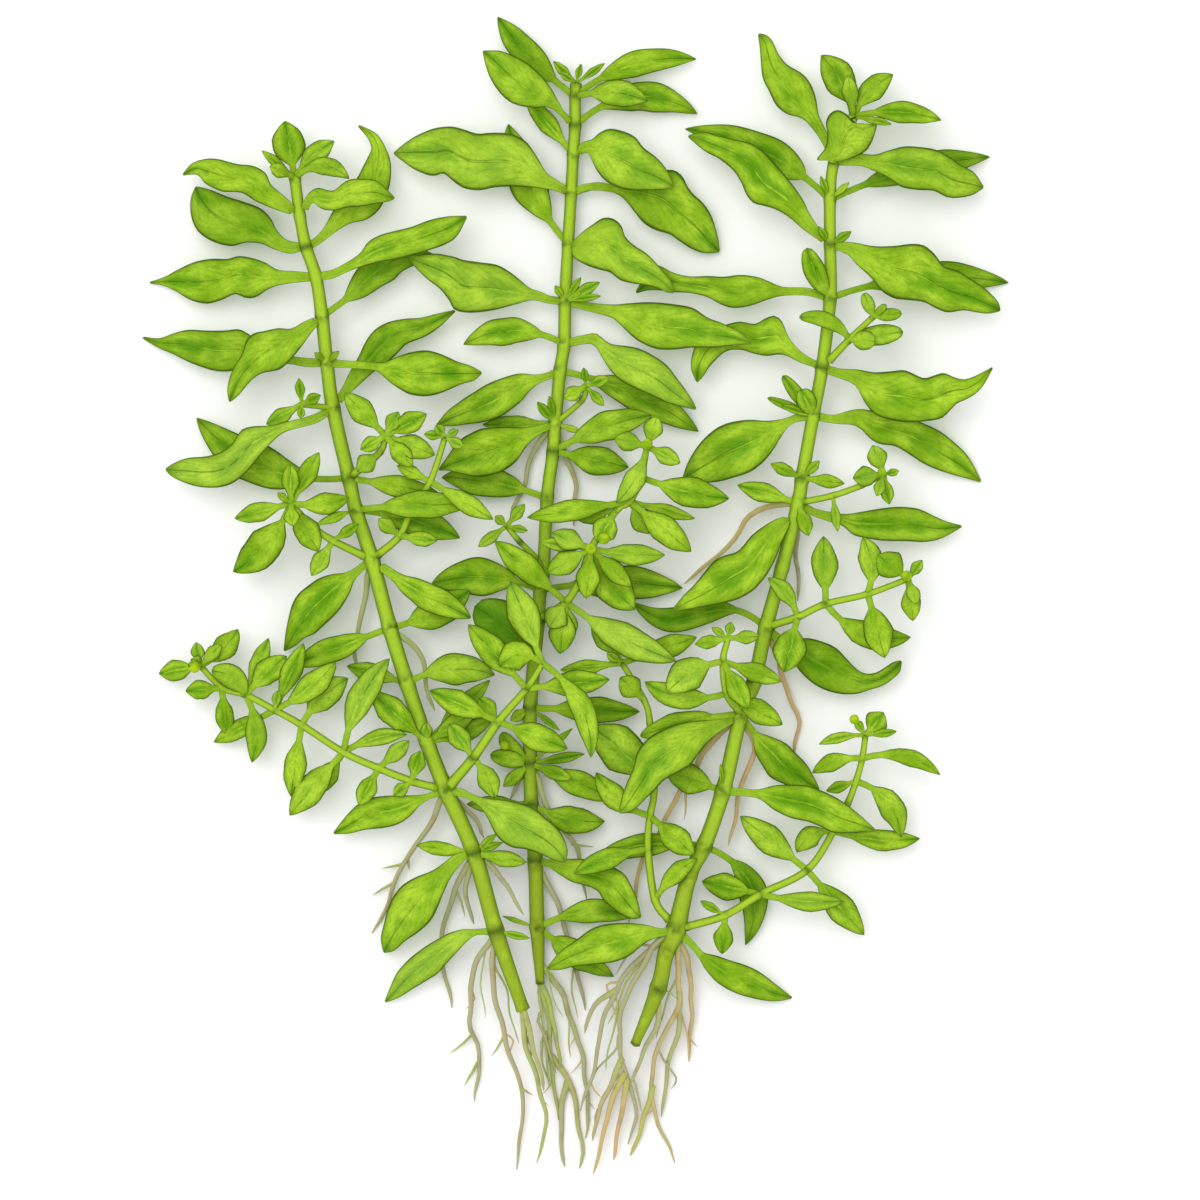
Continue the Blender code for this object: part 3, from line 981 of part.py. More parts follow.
            (-24, 67.2), (-27.2, 67.6), (-29.6, 68.4), (-32.8, 69), (-35.8, 68.8), (-38.6, 68.8),
        ),
    ),
    "leaf_middle_6_r": (
        (
            (-2, 59.4), (2.4, 59), (5.4, 59.2), (9.6, 59.4), (14.2, 59), (18.4, 58.2),
            (21.4, 56.2), (24.4, 55), (27.6, 53.4), (30.2, 51.2),
        ),
        (
            (-2, 58), (2.2, 56.8), (4.2, 55.2), (6, 53.4), (8, 51.8), (11.2, 50.4), (14.6, 50.2),
            (18.6, 50.6), (22.8, 50.6), (26.6, 51), (30.2, 51.2),
        ),
    ),
    "leaf_middle_7_r": (
        (
            (-3.8, 52.8), (-1, 53.2), (0.4, 52.2), (2.2, 51), (5.4, 50.6), (8, 50), (11, 48.4),
            (13.4, 46.6), (15.4, 44), (17.2, 41.6), (18.4, 39.8), (19.2, 38.2),
        ),
        (
            (-3.4, 51.4), (-1.2, 51.2), (0.4, 48.8), (2.2, 46), (4.2, 44), (7.2, 42.4),
            (10.4, 41), (13.6, 39.6), (16.6, 38.8), (19.2, 38.2),
        ),
    ),
    "leaf_middle_8_l": (
        (
            (-10.2, 44.4), (-12.2, 43.6), (-14, 42.2), (-15.8, 40), (-17.8, 38.4), (-20.2, 36.8),
            (-23.4, 35.8), (-26.6, 35.4), (-30, 35), (-32.8, 35),
        ),
        (
            (-10, 45.6), (-12.8, 45), (-16, 45.2), (-19, 44.4), (-22.2, 43.2), (-25.2, 41.4),
            (-28.4, 39.2), (-30.6, 37.6), (-32.8, 35),
        ),
    ),
    "leaf_middle_9_l": (
        (
            (-11.4, 33.8), (-13.4, 32.4), (-15, 30.6), (-16.6, 28.2), (-18.4, 26.6),
            (-20.8, 25.4), (-24.6, 24.8), (-27.8, 25.4), (-30.2, 26), (-32.2, 26),
        ),
        (
            (-11.4, 35), (-14.6, 34.4), (-17.8, 34.4), (-20.8, 34.4), (-23.6, 34), (-25.6, 33.2),
            (-27.4, 32.2), (-29, 30.6), (-30.6, 28.2), (-32.2, 26),
        ),
    ),
    "leaf_middle_18_r": (
        (
            (-9.8, -52.2), (-6.6, -52), (-3.4, -52), (-0.2, -52.8), (2.6, -53.6), (4.8, -55),
            (6.2, -57.4), (7.4, -60.2), (8.2, -63.4),
        ),
        (
            (-10.6, -53.2), (-8, -54.8), (-5.6, -56.2), (-2.6, -57), (-0.4, -58), (0.8, -59.8),
            (2.8, -61.6), (5, -63), (6.8, -63.6), (8.2, -63.4),
        ),
    ),
    "leaf_right_1_l": (
        (
            (44.8, 91), (43, 94), (40.6, 96.4), (37.4, 97.4), (35.4, 99.2), (34, 102),
            (32.8, 104.6), (32.4, 108), (32.2, 110.8), (31.8, 113.6),
        ),
        (
            (45.8, 92), (44.8, 94.4), (43.6, 97), (43, 100.6), (41.8, 103.6), (40, 105.6),
            (37.4, 107.2), (35.6, 109.4), (34.4, 112), (33.2, 113.2), (31.8, 113.6),
        ),
    ),
    "leaf_right_1_front": (
        (
            (43.4, 87.8), (45.1, 90.1), (45.4, 92.8), (45.1, 94.8), (45.7, 96.4), (47.1, 97.3),
            (48.7, 96.4), (50.4, 94.8), (52.2, 94.6), (54.8, 94.4),
        ),
        (
            (50.4, 88.3), (52.7, 89.4), (54, 91.4), (54.8, 94.4),
        ),
    ),
    "leaf_right_1_r": (
        (
            (51.2, 89), (54.6, 88.6), (57.4, 89.4), (60.6, 90.2), (64, 90), (67.4, 89.4),
            (70, 88), (72.2, 86.6), (74.8, 85.2), (76.8, 82.6),
        ),
        (
            (52, 86.8), (54.6, 85.8), (57.4, 84.4), (60, 82.6), (63.4, 82), (66.6, 81.8),
            (69.4, 80.6), (72, 80.6), (74.6, 81.2), (76.8, 82.6),
        ),
    ),
    "leaf_right_3_l": (
        (
            (43.2, 72.4), (40.6, 74.2), (38, 76.4), (35.4, 78), (32.8, 78.8), (30.6, 79.4),
            (29.2, 81.2), (28.2, 83.6), (26.4, 86.2), (23.8, 88.4), (20.8, 90), (17.6, 92.8),
        ),
        (
            (43.6, 74.2), (41.6, 77.2), (40.6, 79.4), (39, 81.8), (36.8, 84.6), (34.6, 87.2),
            (32.6, 89.4), (30, 91), (26.6, 91.8), (23.4, 92.6), (20.6, 93.4), (17.6, 92.8),
        ),
    ),
    "leaf_right_3_r": (
        (
            (50.6, 71.2), (54.6, 70.4), (58.6, 70.4), (62, 70.8), (64.6, 70.4), (66.6, 68.6),
            (68.4, 66.4), (71.4, 65.4), (74.6, 63.4), (77.4, 61.4), (79.4, 59.4), (80, 57.8),
        ),
        (
            (49.4, 69.2), (51.4, 67), (54, 64.6), (56, 62), (58.6, 60.4), (61.4, 60),
            (64.6, 59.6), (66.6, 58.6), (69.4, 57.6), (72.6, 58), (75.4, 57.6), (77.6, 57.4),
            (80, 57.8),
        ),
    ),
    "leaf_right_4_l": (
        (
            (41.4, 61), (36.6, 61), (33.4, 60.2), (30, 59), (26.6, 58.6), (24, 59.4),
            (21.4, 60.8), (18, 61.6), (15, 61.8), (12, 62.2), (9.4, 62.2), (7.2, 61.6),
        ),
        (
            (41.4, 62.2), (36.6, 62.4), (34, 63.4), (31.4, 64.4), (28, 64.8), (24.6, 64.4),
            (21.4, 64.6), (18, 64.6), (15.2, 65.2), (13, 66.2), (11.4, 66.8), (9.6, 65.6),
            (7.2, 61.6),
        ),
    ),
    "leaf_right_5_l": (
        (
            (42.4, 46.8), (40, 47.6), (36.6, 49.2), (33.4, 49), (31, 49.4), (28, 50.2),
            (25.4, 50), (23.4, 48.6), (21.6, 46.6), (20.6, 45), (19.4, 43.6),
        ),
        (
            (42, 48.2), (39.8, 49.8), (38.2, 51.6), (37.2, 53.4), (36.4, 55.4), (35, 56.6),
            (33.2, 56.2), (31, 55), (28, 55.4), (25, 54.8), (22, 53.4), (19.6, 51.4),
            (18.6, 48.8), (18.4, 46.2), (19.4, 43.6),
        ),
    ),
    "leaf_right_5_r": (
        (
            (48, 46), (51.4, 45.8), (54.6, 45.2), (58, 45.4), (60.6, 45.6), (62.6, 44.8),
            (64.6, 44), (66.8, 44.6), (68.6, 45), (70.6, 44.2), (72.6, 43.8), (74.6, 44.4),
            (76.6, 45.4), (78.4, 46.4),
        ),
        (
            (47.4, 44.6), (50, 43.6), (51.4, 42.4), (52.6, 40), (54.6, 37.4), (57.4, 36.2),
            (61.2, 35.6), (64.8, 35.8), (68, 36.4), (69.8, 38), (71.2, 39.4), (73.4, 40.4),
            (75.4, 41.8), (76.8, 43.6), (78.4, 46.4),
        ),
    ),
    "leaf_right_6_l": (
        (
            (39.4, 35.8), (37.4, 34.6), (36, 32.6), (34.4, 30), (32.6, 27.8), (30, 25.8),
            (26.6, 24.6), (23.4, 23.8), (20, 23.6), (18, 24), (16.6, 24.4),
        ),
        (
            (39.4, 37), (36.6, 36), (33.4, 35.6), (30, 35.8), (26.6, 35.4), (23.8, 34.4),
            (21.2, 32.4), (19.2, 30), (17.6, 27.2), (16.6, 24.4),
        ),
    ),
    "leaf_right_6_r": (
        (
            (46.6, 36.8), (49.4, 37.6), (52, 38), (54.8, 37.6), (58, 37), (61.6, 36.4),
            (65.2, 35), (68.2, 33.6), (70.8, 31.6), (73.2, 29.4), (74.8, 27.2), (76.6, 23.8),
        ),
        (
            (47.4, 35.4), (50.6, 35.2), (52.4, 34.2), (54, 32.6), (56, 31.4), (59.2, 31),
            (62, 29.4), (64.8, 27.6), (68, 26.2), (71.4, 25.2), (74.4, 24.4), (76.6, 23.8),
        ),
    ),
    "leaf_right_8_l": (
        (
            (38.6, 16.6), (37.4, 14.4), (36.2, 11.8), (35, 8.6), (33.2, 5.4), (30.8, 2.4),
            (28, 0.6), (24.6, -0.4), (21.4, -1), (18, -1.6), (14.4, -2.2),
        ),
        (
            (37.4, 17.6), (34.8, 15.8), (32.2, 14.2), (30.2, 12.6), (28.6, 10.6), (27.2, 9.4),
            (24.6, 8.6), (22.6, 7.4), (20.6, 5), (18.6, 2.6), (16.6, 0.6), (14.4, -2.2),
        ),
    ),
    "leaf_right_8_r": (
        (
            (42.6, 18.2), (46, 17.4), (49, 17), (52, 17.4), (55.4, 18), (58.6, 18.4),
            (61.4, 18.4), (64, 18), (66.6, 16.8), (69.4, 15.6), (72.6, 14.8),
        ),
        (
            (42.6, 17), (46, 15.8), (48.6, 15), (50.8, 13.2), (54, 12.4), (57.4, 12), (61.4, 12),
            (64.6, 11.8), (67.4, 12.2), (69.4, 13), (71.2, 14), (72.6, 14.8),
        ),
    ),
    "leaf_right_10_r": (
        (
            (36.2, -7.2), (39, -8), (41.6, -7.8), (44.6, -8.6), (47.2, -9.8), (49.4, -12),
            (51.4, -14), (53.4, -15), (55.4, -14.8), (57.4, -13.6), (58.8, -12.6), (60.4, -12.2),
        ),
        (
            (35.8, -9), (38, -11.2), (40, -14), (42, -16), (44.6, -17.6), (48, -18.6),
            (51.4, -18.6), (54, -17.8), (56.6, -17), (58.6, -15.6), (60, -14.2), (60.4, -12.2),
        ),
    ),
    "leaf_right_12_l": (
        (
            (25.6, -25), (23.2, -26.6), (21.2, -28.4), (19.6, -30.4), (18, -32.6), (15.8, -34),
            (12.8, -35.6), (11, -37.4), (9, -39.4), (7.2, -41.2), (5.4, -42.2), (3.8, -42.4),
        ),
        (
            (25.6, -23.6), (23.2, -24), (20, -24.2), (16.6, -24.6), (13.4, -25.6), (10.6, -27),
            (8.6, -28.8), (7.4, -30.8), (6.8, -33.4), (5.6, -36.2), (4.6, -39), (3.8, -42.4),
        ),
    ),
    "leaf_right_13_r": (
        (
            (28.6, -37.8), (31.4, -38), (34.6, -37.2), (38, -37), (41.4, -37.2), (44.6, -38.4),
            (47.4, -39.8), (50, -41.6), (52.6, -43.8), (55, -46),
        ),
        (
            (29, -39), (32, -39.6), (34.6, -41.6), (38, -43.2), (41.4, -44), (44, -45),
            (46.6, -46.2), (50, -46.2), (53.2, -46), (55, -46),
        ),
    ),
    "leaf_right_16_l": (
        (
            (12.4, -67), (9.8, -67.8), (7.8, -69.2), (5.8, -70.8), (2.8, -72), (-1, -72.4),
            (-4.8, -72.8), (-8, -73.6), (-10.6, -73.6),
        ),
        (
            (12, -65.8), (9, -65), (5.2, -64.6), (1.2, -64.8), (-1.8, -65.8), (-5, -68.2),
            (-8, -70.4), (-10.6, -73.6),
        ),
    ),
    "leaf_right_16_r": (
        (
            (19, -68.8), (20.6, -70.6), (23.4, -71.4), (26.4, -72.4), (29.4, -73.4),
            (32.6, -75.2), (35.6, -77.6), (38.6, -80),
        ),
        (
            (18, -69.2), (19.8, -71.4), (21.4, -74), (23.8, -76.6), (27.4, -78.6), (31.2, -79.8),
            (35.2, -80.4), (38.6, -80),
        ),
    ),
}

STEMS = {
    "stem_left": (LEFT_STEM, LEFT_LEAVES, LEFT_SMALL, LEFT_ROOTS),
    "stem_middle": (MIDDLE_STEM, MIDDLE_LEAVES, MIDDLE_SMALL, MIDDLE_ROOTS),
    "stem_right": (RIGHT_STEM, RIGHT_LEAVES, RIGHT_SMALL, RIGHT_ROOTS),
}


def clear_scene():
    for obj in list(bpy.data.objects):
        bpy.data.objects.remove(obj, do_unlink=True)


def new_collection(name):
    collection = bpy.data.collections.new(name)
    bpy.context.scene.collection.children.link(collection)
    return collection


def new_material(name, kind):
    colour, roughness = GREENS[kind]
    material = bpy.data.materials.new(name)
    material.use_nodes = True
    shader = material.node_tree.nodes["Principled BSDF"]
    shader.inputs["Base Color"].default_value = colour
    shader.inputs["Roughness"].default_value = roughness
    shader.inputs["Metallic"].default_value = 0.0
    return material


def to_part(point):
    return (Vector(point) - ORIGIN) * MM


def blade_half_width(share, width):
    """Half a grown-on leaf's width at a share of its length: a stalk, then a pointed ellipse."""
    if share <= PETIOLE_SHARE:
        return min(PETIOLE_WIDTH, width) / 2
    along = (share - PETIOLE_SHARE) / (1.0 - PETIOLE_SHARE)
    swell = math.sin(math.pi * along) ** TIP_SHARPNESS
    stalk = min(PETIOLE_WIDTH, width) * (1.0 - along)
    return max(width * swell, stalk) / 2


def leaf_height(base, middle, tip, share):
    """The height of the arc through the node, the leaf's middle and its tip."""
    low = 2.0 * (share - 0.5) * (share - 1.0) * base.z
    high = 2.0 * share * (share - 0.5) * tip
    return low + 4.0 * share * (1.0 - share) * middle + high


def leaf_centre(base, leaf):
    """The leaf's middle line as a function of the share of its length."""
    across, along, _, bow, middle, tip = leaf
    chord = Vector((across, along, 0.0))
    side = Vector((-along, across, 0.0)).normalized()

    def point(share):
        flat = base + chord * share + side * bow * 4.0 * share * (1.0 - share)
        return Vector((flat.x, flat.y, leaf_height(base, middle, tip, share)))

    return point


def along_edge(points, share):
    """The place at a share of the length of the line through the points."""
    lengths = [(end - start).length for start, end in zip(points, points[1:])]
    rest = share * sum(lengths)
    for start, end, length in zip(points, points[1:], lengths):
        if rest <= length:
            return start.lerp(end, rest / length)
        rest -= length
    return points[-1]


def clear_of_stem(heading, direction, clearance, half_width):
    """How far along its heading a stalk clears the round stem that bears it."""
    cosine = abs(heading.dot(direction))
    sine = max(math.sqrt(1.0 - cosine * cosine), LEAST_SINE)
    return (clearance + half_width * cosine) / sine


def thickness_at(share):
    thinning = (PETIOLE_THICKNESS - BLADE_THICKNESS) * min(share * 2.0, 1.0)
    return PETIOLE_THICKNESS - thinning


def drawn_sections(base, leaf, outline, direction, clearance):
    """Sections of a leaf with a drawn outline: left edge, midrib, right edge and underside."""
    left, right = [[Vector((*point, 0.0)) for point in edge] for edge in outline]
    foot = Vector((base.x, base.y, 0.0))
    heading = ((left[0] + right[0]) / 2 - foot).normalized()
    half_stalk = PETIOLE_WIDTH / 2
    away = clear_of_stem(heading, direction, clearance, half_stalk)
    start = foot + heading * away
    side = heading.cross(UP) * half_stalk
    if clearance:
        # The outline's points that lie nearer to the stem than the stalk's start are left out.
        left, right = [
            [point for point in edge if (point - start).dot(heading) > GAP]
            for edge in (left, right)
        ]
    left.insert(0, start - side)
    right.insert(0, start + side)
    first = away / ((left[-1] - foot).length + away)

    def section(share):
        part = (share - first) / (1.0 - first)
        edges = along_edge(left, part), along_edge(right, part)
        height = UP * leaf_height(base, leaf[4], leaf[5], share)
        raised = height + UP * (edges[1] - edges[0]).length / 2 * BLADE_FOLD
        centre = (edges[0] + edges[1]) / 2 + height
        thick = UP * thickness_at(share) / 2
        return edges[0] + raised, centre + thick, edges[1] + raised, centre - thick

    return section, first


def plain_sections(base, leaf):
    """Sections of a grown-on leaf: left edge, right edge and underside."""
    point = leaf_centre(base, leaf)

    def section(share):
        ahead = point(min(share + SECTION_STEP, 1.0)) - point(max(share - SECTION_STEP, 0.0))
        heading = ahead.normalized()
        side = heading.cross(UP).normalized()
        normal = side.cross(heading)
        half = blade_half_width(share, leaf[2])
        raised = normal * half * BLADE_FOLD
        centre = point(share)
        underside = centre - normal * thickness_at(share) / 2
        return centre - side * half + raised, centre + side * half + raised, underside

    first = point(FIRST_STEP) - base
    return section, GROWN_START * FIRST_STEP / first.length


def extrude_cap(mesh, cap, places):
    """Extrudes the end face and puts its corners in their new places."""
    corners = list(cap.verts)
    geometry = [cap] + list(cap.edges) + corners
    result = bmesh.ops.extrude_face_region(mesh, geom=geometry)["geom"]
    fresh = [item for item in result if isinstance(item, bmesh.types.BMVert)]
    moved = {}
    for corner, place in places.items():
        twin = min(fresh, key=lambda vert: (vert.co - corner.co).length_squared)
        moved[twin] = place
    face = [item for item in result if isinstance(item, bmesh.types.BMFace)][0]
    return face, moved


def leaf_mesh(name, section, start, rings, tip):
    """A leaf as sections extruded along its length to a pointed tip."""
    shares = [start] + [share for share in rings if share > start + LEAST_RING_SPACING]
    first = section(start)
    mesh = bmesh.new()
    ring = bmesh.ops.create_circle(mesh, cap_ends=True, segments=len(first), radius=1.0)["verts"]
    for corner, place in zip(ring, first):
        corner.co = to_part(place)
    cap = mesh.faces[:][0]
    order = ring
    for share in shares[1:]:
        cap, moved = extrude_cap(mesh, cap, dict(zip(order, section(share))))
        for corner, place in moved.items():
            corner.co = to_part(place)
        order = list(moved)
    cap, moved = extrude_cap(mesh, cap, dict.fromkeys(order, tip))
    bmesh.ops.pointmerge(mesh, verts=list(moved), merge_co=to_part(tip))
    bmesh.ops.recalc_face_normals(mesh, faces=mesh.faces[:])
    data = bpy.data.meshes.new(name)
    mesh.to_mesh(data)
    mesh.free()
    return data


def grown_leaf_mesh(name, base, leaf):
    """A leaf that is one with its shoot or stem."""
    small = math.hypot(leaf[0], leaf[1]) < SMALL_LEAF_LENGTH
    rings = SMALL_LEAF_RINGS if small else MEDIUM_LEAF_RINGS
    section, start = plain_sections(base, leaf)
    return leaf_mesh(name, section, start, rings, leaf_centre(base, leaf)(1.0))


def drawn_leaf_mesh(name, base, leaf, direction, clearance):
    """A leaf that is a piece of its own."""
    outline = LEAF_OUTLINES[name]
    section, start = drawn_sections(base, leaf, outline, direction, clearance)
    tip = Vector((*outline[0][-1], leaf[5]))
    return leaf_mesh(name, section, start, LARGE_LEAF_RINGS, tip)


def tube_mesh(name, points, radii, resolution):
    """A round tube through the points, as a mesh with its end caps welded on."""
    curve = bpy.data.curves.new(name, "CURVE")
    curve.dimensions = "3D"
    curve.bevel_depth = MM
    curve.bevel_resolution = resolution
    curve.use_fill_caps = True
    spline = curve.splines.new("POLY")
    spline.points.add(len(points) - 1)
    for control, place, radius in zip(spline.points, points, radii):
        control.co = (*to_part(place), 1.0)
        control.radius = radius
    guide = bpy.data.objects.new(name + "_guide", curve)
    bpy.context.scene.collection.objects.link(guide)
    graph = bpy.context.evaluated_depsgraph_get()
    data = bpy.data.meshes.new_from_object(guide.evaluated_get(graph))
    bpy.data.objects.remove(guide, do_unlink=True)
    bpy.data.curves.remove(curve)
    data.name = name
    mesh = bmesh.new()
    mesh.from_mesh(data)
    bmesh.ops.remove_doubles(mesh, verts=mesh.verts[:], dist=WELD_DISTANCE)
    bmesh.ops.recalc_face_normals(mesh, faces=mesh.faces[:])
    mesh.to_mesh(data)
    mesh.free()
    return data


def twig_mesh(name, axis, start_radius):
    """A tapering twig that runs a little past its last leaves' place, so that they join it."""
    heading = (axis[-1] - axis[-2]).normalized()
    points = axis[:-1] + [axis[-1] + heading * GROWN_START * 2]
    narrowing = (TWIG_RADIUS - start_radius) / (len(axis) - 1)
    radii = [start_radius + narrowing * step for step in range(len(axis))]
    return tube_mesh(name, points, radii, 0)


def root_mesh(name, points):
    count = len(points) - 1
    narrowing = (ROOT_TIP_RADIUS - ROOT_START_RADIUS) / count
    radii = [ROOT_START_RADIUS + narrowing * step for step in range(count + 1)]
    return tube_mesh(name, [Vector(point) for point in points], radii, 0)


def add_piece(name, data, kind, collection):
    obj = bpy.data.objects.new(name, data)
    obj.data.materials.clear()
    obj.data.materials.append(new_material(name, kind))
    collection.objects.link(obj)
    return obj


def grow_on(obj, meshes):
    """Unites the meshes with the object they grow from, which becomes one closed solid."""
    helpers = new_collection(obj.name + "_growth")
    for data in meshes:
        helper = bpy.data.objects.new(data.name, data)
        helper.hide_render = True
        helper.display_type = "WIRE"
        helpers.objects.link(helper)
    union = obj.modifiers.new("growth", "BOOLEAN")
    union.operation = "UNION"
    union.operand_type = "COLLECTION"
    union.collection = helpers
    union.solver = "EXACT"


def stem_direction(stem, node):
    above = Vector(stem[max(node - 1, 0)][:3])
    below = Vector(stem[min(node + 1, len(stem) - 1)][:3])
    return (above - below).normalized()


def build_stem(name, collection):
    stem, leaves, small, roots = STEMS[name]
    points = [Vector(node[:3]) for node in stem.values()]
    radii = [node[3] for node in stem.values()]
    obj = add_piece(name, tube_mesh(name, points, radii, 1), "stem", collection)
    growth = []
    for number, (node, *leaf) in enumerate(small):
        if leaf[2] >= NARROWEST_LEAF:
            growth.append(grown_leaf_mesh(f"{name}_small_{number}", points[node], leaf))
    for number, root in enumerate(roots):
        growth.append(root_mesh(f"{name}_root_{number}", root))
    for number, tiny in enumerate(TINY_SHOOTS):
        if tiny["stem"] == name:
            axis = [Vector(point) for point in tiny["axis"]]
            twig = f"{name}_twig_{number}"
            growth.append(twig_mesh(twig, axis, TWIG_RADIUS))
            for count, leaf in enumerate(tiny["leaves"]):
                if leaf[2] >= NARROWEST_LEAF:
                    growth.append(grown_leaf_mesh(f"{twig}_{count}", axis[-1], leaf))
    for leaf_name, (node, *leaf) in leaves.items():
        direction = stem_direction(stem, node)
        clearance = radii[node] + GAP
        base = points[node]
        if leaf_name == FRONT_LEAF:
            base = base + UP * (clearance + PETIOLE_THICKNESS / 2)
            direction = UP
            clearance = 0.0
        data = drawn_leaf_mesh(leaf_name, base, leaf, direction, clearance)
        add_piece(leaf_name, data, "leaf", collection)
    return obj, growth


def build_shoot(name, collection):
    shoot = SHOOTS[name]
    stem = STEMS[shoot["stem"]][0]
    node = shoot["node"]
    axis = [Vector(point) for point in shoot["axis"]]
    foot = Vector(stem[node][:3])
    heading = (axis[1] - foot).normalized()
    direction = stem_direction(stem, node)
    reach = clear_of_stem(heading, direction, stem[node][3] + GAP, SHOOT_RADIUS)
    axis[0] = foot + heading * reach
    obj = add_piece(name, twig_mesh(name, axis, SHOOT_RADIUS), "shoot", collection)
    growth = []
    for number, (place, *leaf) in enumerate(shoot["leaves"]):
        if leaf[2] >= NARROWEST_LEAF:
            growth.append(grown_leaf_mesh(f"{name}_small_{number}", axis[place], leaf))
    return obj, growth


def main():
    clear_scene()
    plant = new_collection("marsh_seedbox")
    grown = [build_stem(name, plant) for name in STEMS]
    grown += [build_shoot(name, plant) for name in SHOOTS]
    for obj, growth in grown:
        grow_on(obj, growth)


main()
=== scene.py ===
import math
import random

import bmesh
import bpy
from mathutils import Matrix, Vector


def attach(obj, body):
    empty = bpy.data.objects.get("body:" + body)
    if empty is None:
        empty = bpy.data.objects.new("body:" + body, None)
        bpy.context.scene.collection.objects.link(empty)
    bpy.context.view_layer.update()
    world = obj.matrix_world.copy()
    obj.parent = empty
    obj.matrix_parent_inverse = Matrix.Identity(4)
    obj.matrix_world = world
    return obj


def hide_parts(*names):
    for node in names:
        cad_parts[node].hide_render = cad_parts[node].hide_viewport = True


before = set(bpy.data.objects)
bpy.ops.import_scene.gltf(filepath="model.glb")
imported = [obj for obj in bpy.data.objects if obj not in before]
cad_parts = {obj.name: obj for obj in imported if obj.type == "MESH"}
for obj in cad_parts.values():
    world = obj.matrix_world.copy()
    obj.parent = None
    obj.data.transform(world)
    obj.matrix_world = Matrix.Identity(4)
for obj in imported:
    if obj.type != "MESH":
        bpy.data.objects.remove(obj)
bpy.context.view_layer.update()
print("frame loaded:", len(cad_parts), "nodes")

mm = 0.001
up = Vector((0, 0, 1))

# Places below are in millimetres on the clump's own layout: across to the right, along
# towards the shoot tips, up from the surface. origin is the layout point under its middle.
origin = Vector((-4.9, 0.966, 0.3))

# A node of a stem is: across, along, up and its radius. They go from the tip down.
# A large leaf is a piece of its own: its node, its width, the height of its middle and that of
# its tip, then its left edge and its right edge, as seen going from the end of its stalk to its
# tip. An edge is a run of points, across and down in fifths of a millimetre, on a square of 1200
# whose middle is the middle of the layout. The left edge ends at the tip.
# A small leaf is grown on as one with its stem: its node, how far its tip is from there across
# and along, its width, its bow to the left, the height of its middle and that of its tip.
leftNodes = (
    (-61, 84.4, 9, 1.25), (-60, 76.8, 9, 1.25), (-58.8, 70.6, 8.5, 1.35), (-56.8, 64.6, 8.5, 1.35),
    (-55.6, 56.6, 8.5, 1.45), (-54.6, 47.4, 8.5, 1.45), (-53.4, 38.4, 8.5, 1.55),
    (-50.2, 24.4, 8.5, 1.55), (-48.8, 18, 8.5, 1.55), (-45.6, 8, 8.5, 1.65), (-42, -5.6, 8.5, 1.65),
    (-38.6, -16.6, 8.5, 1.65), (-34.6, -28.4, 8.5, 1.65), (-30.8, -38, 8.5, 1.75),
    (-25.2, -50.6, 8.5, 1.75), (-20.8, -66.2, 8, 1.75), (-15.4, -82, 7.5, 1.4),
)
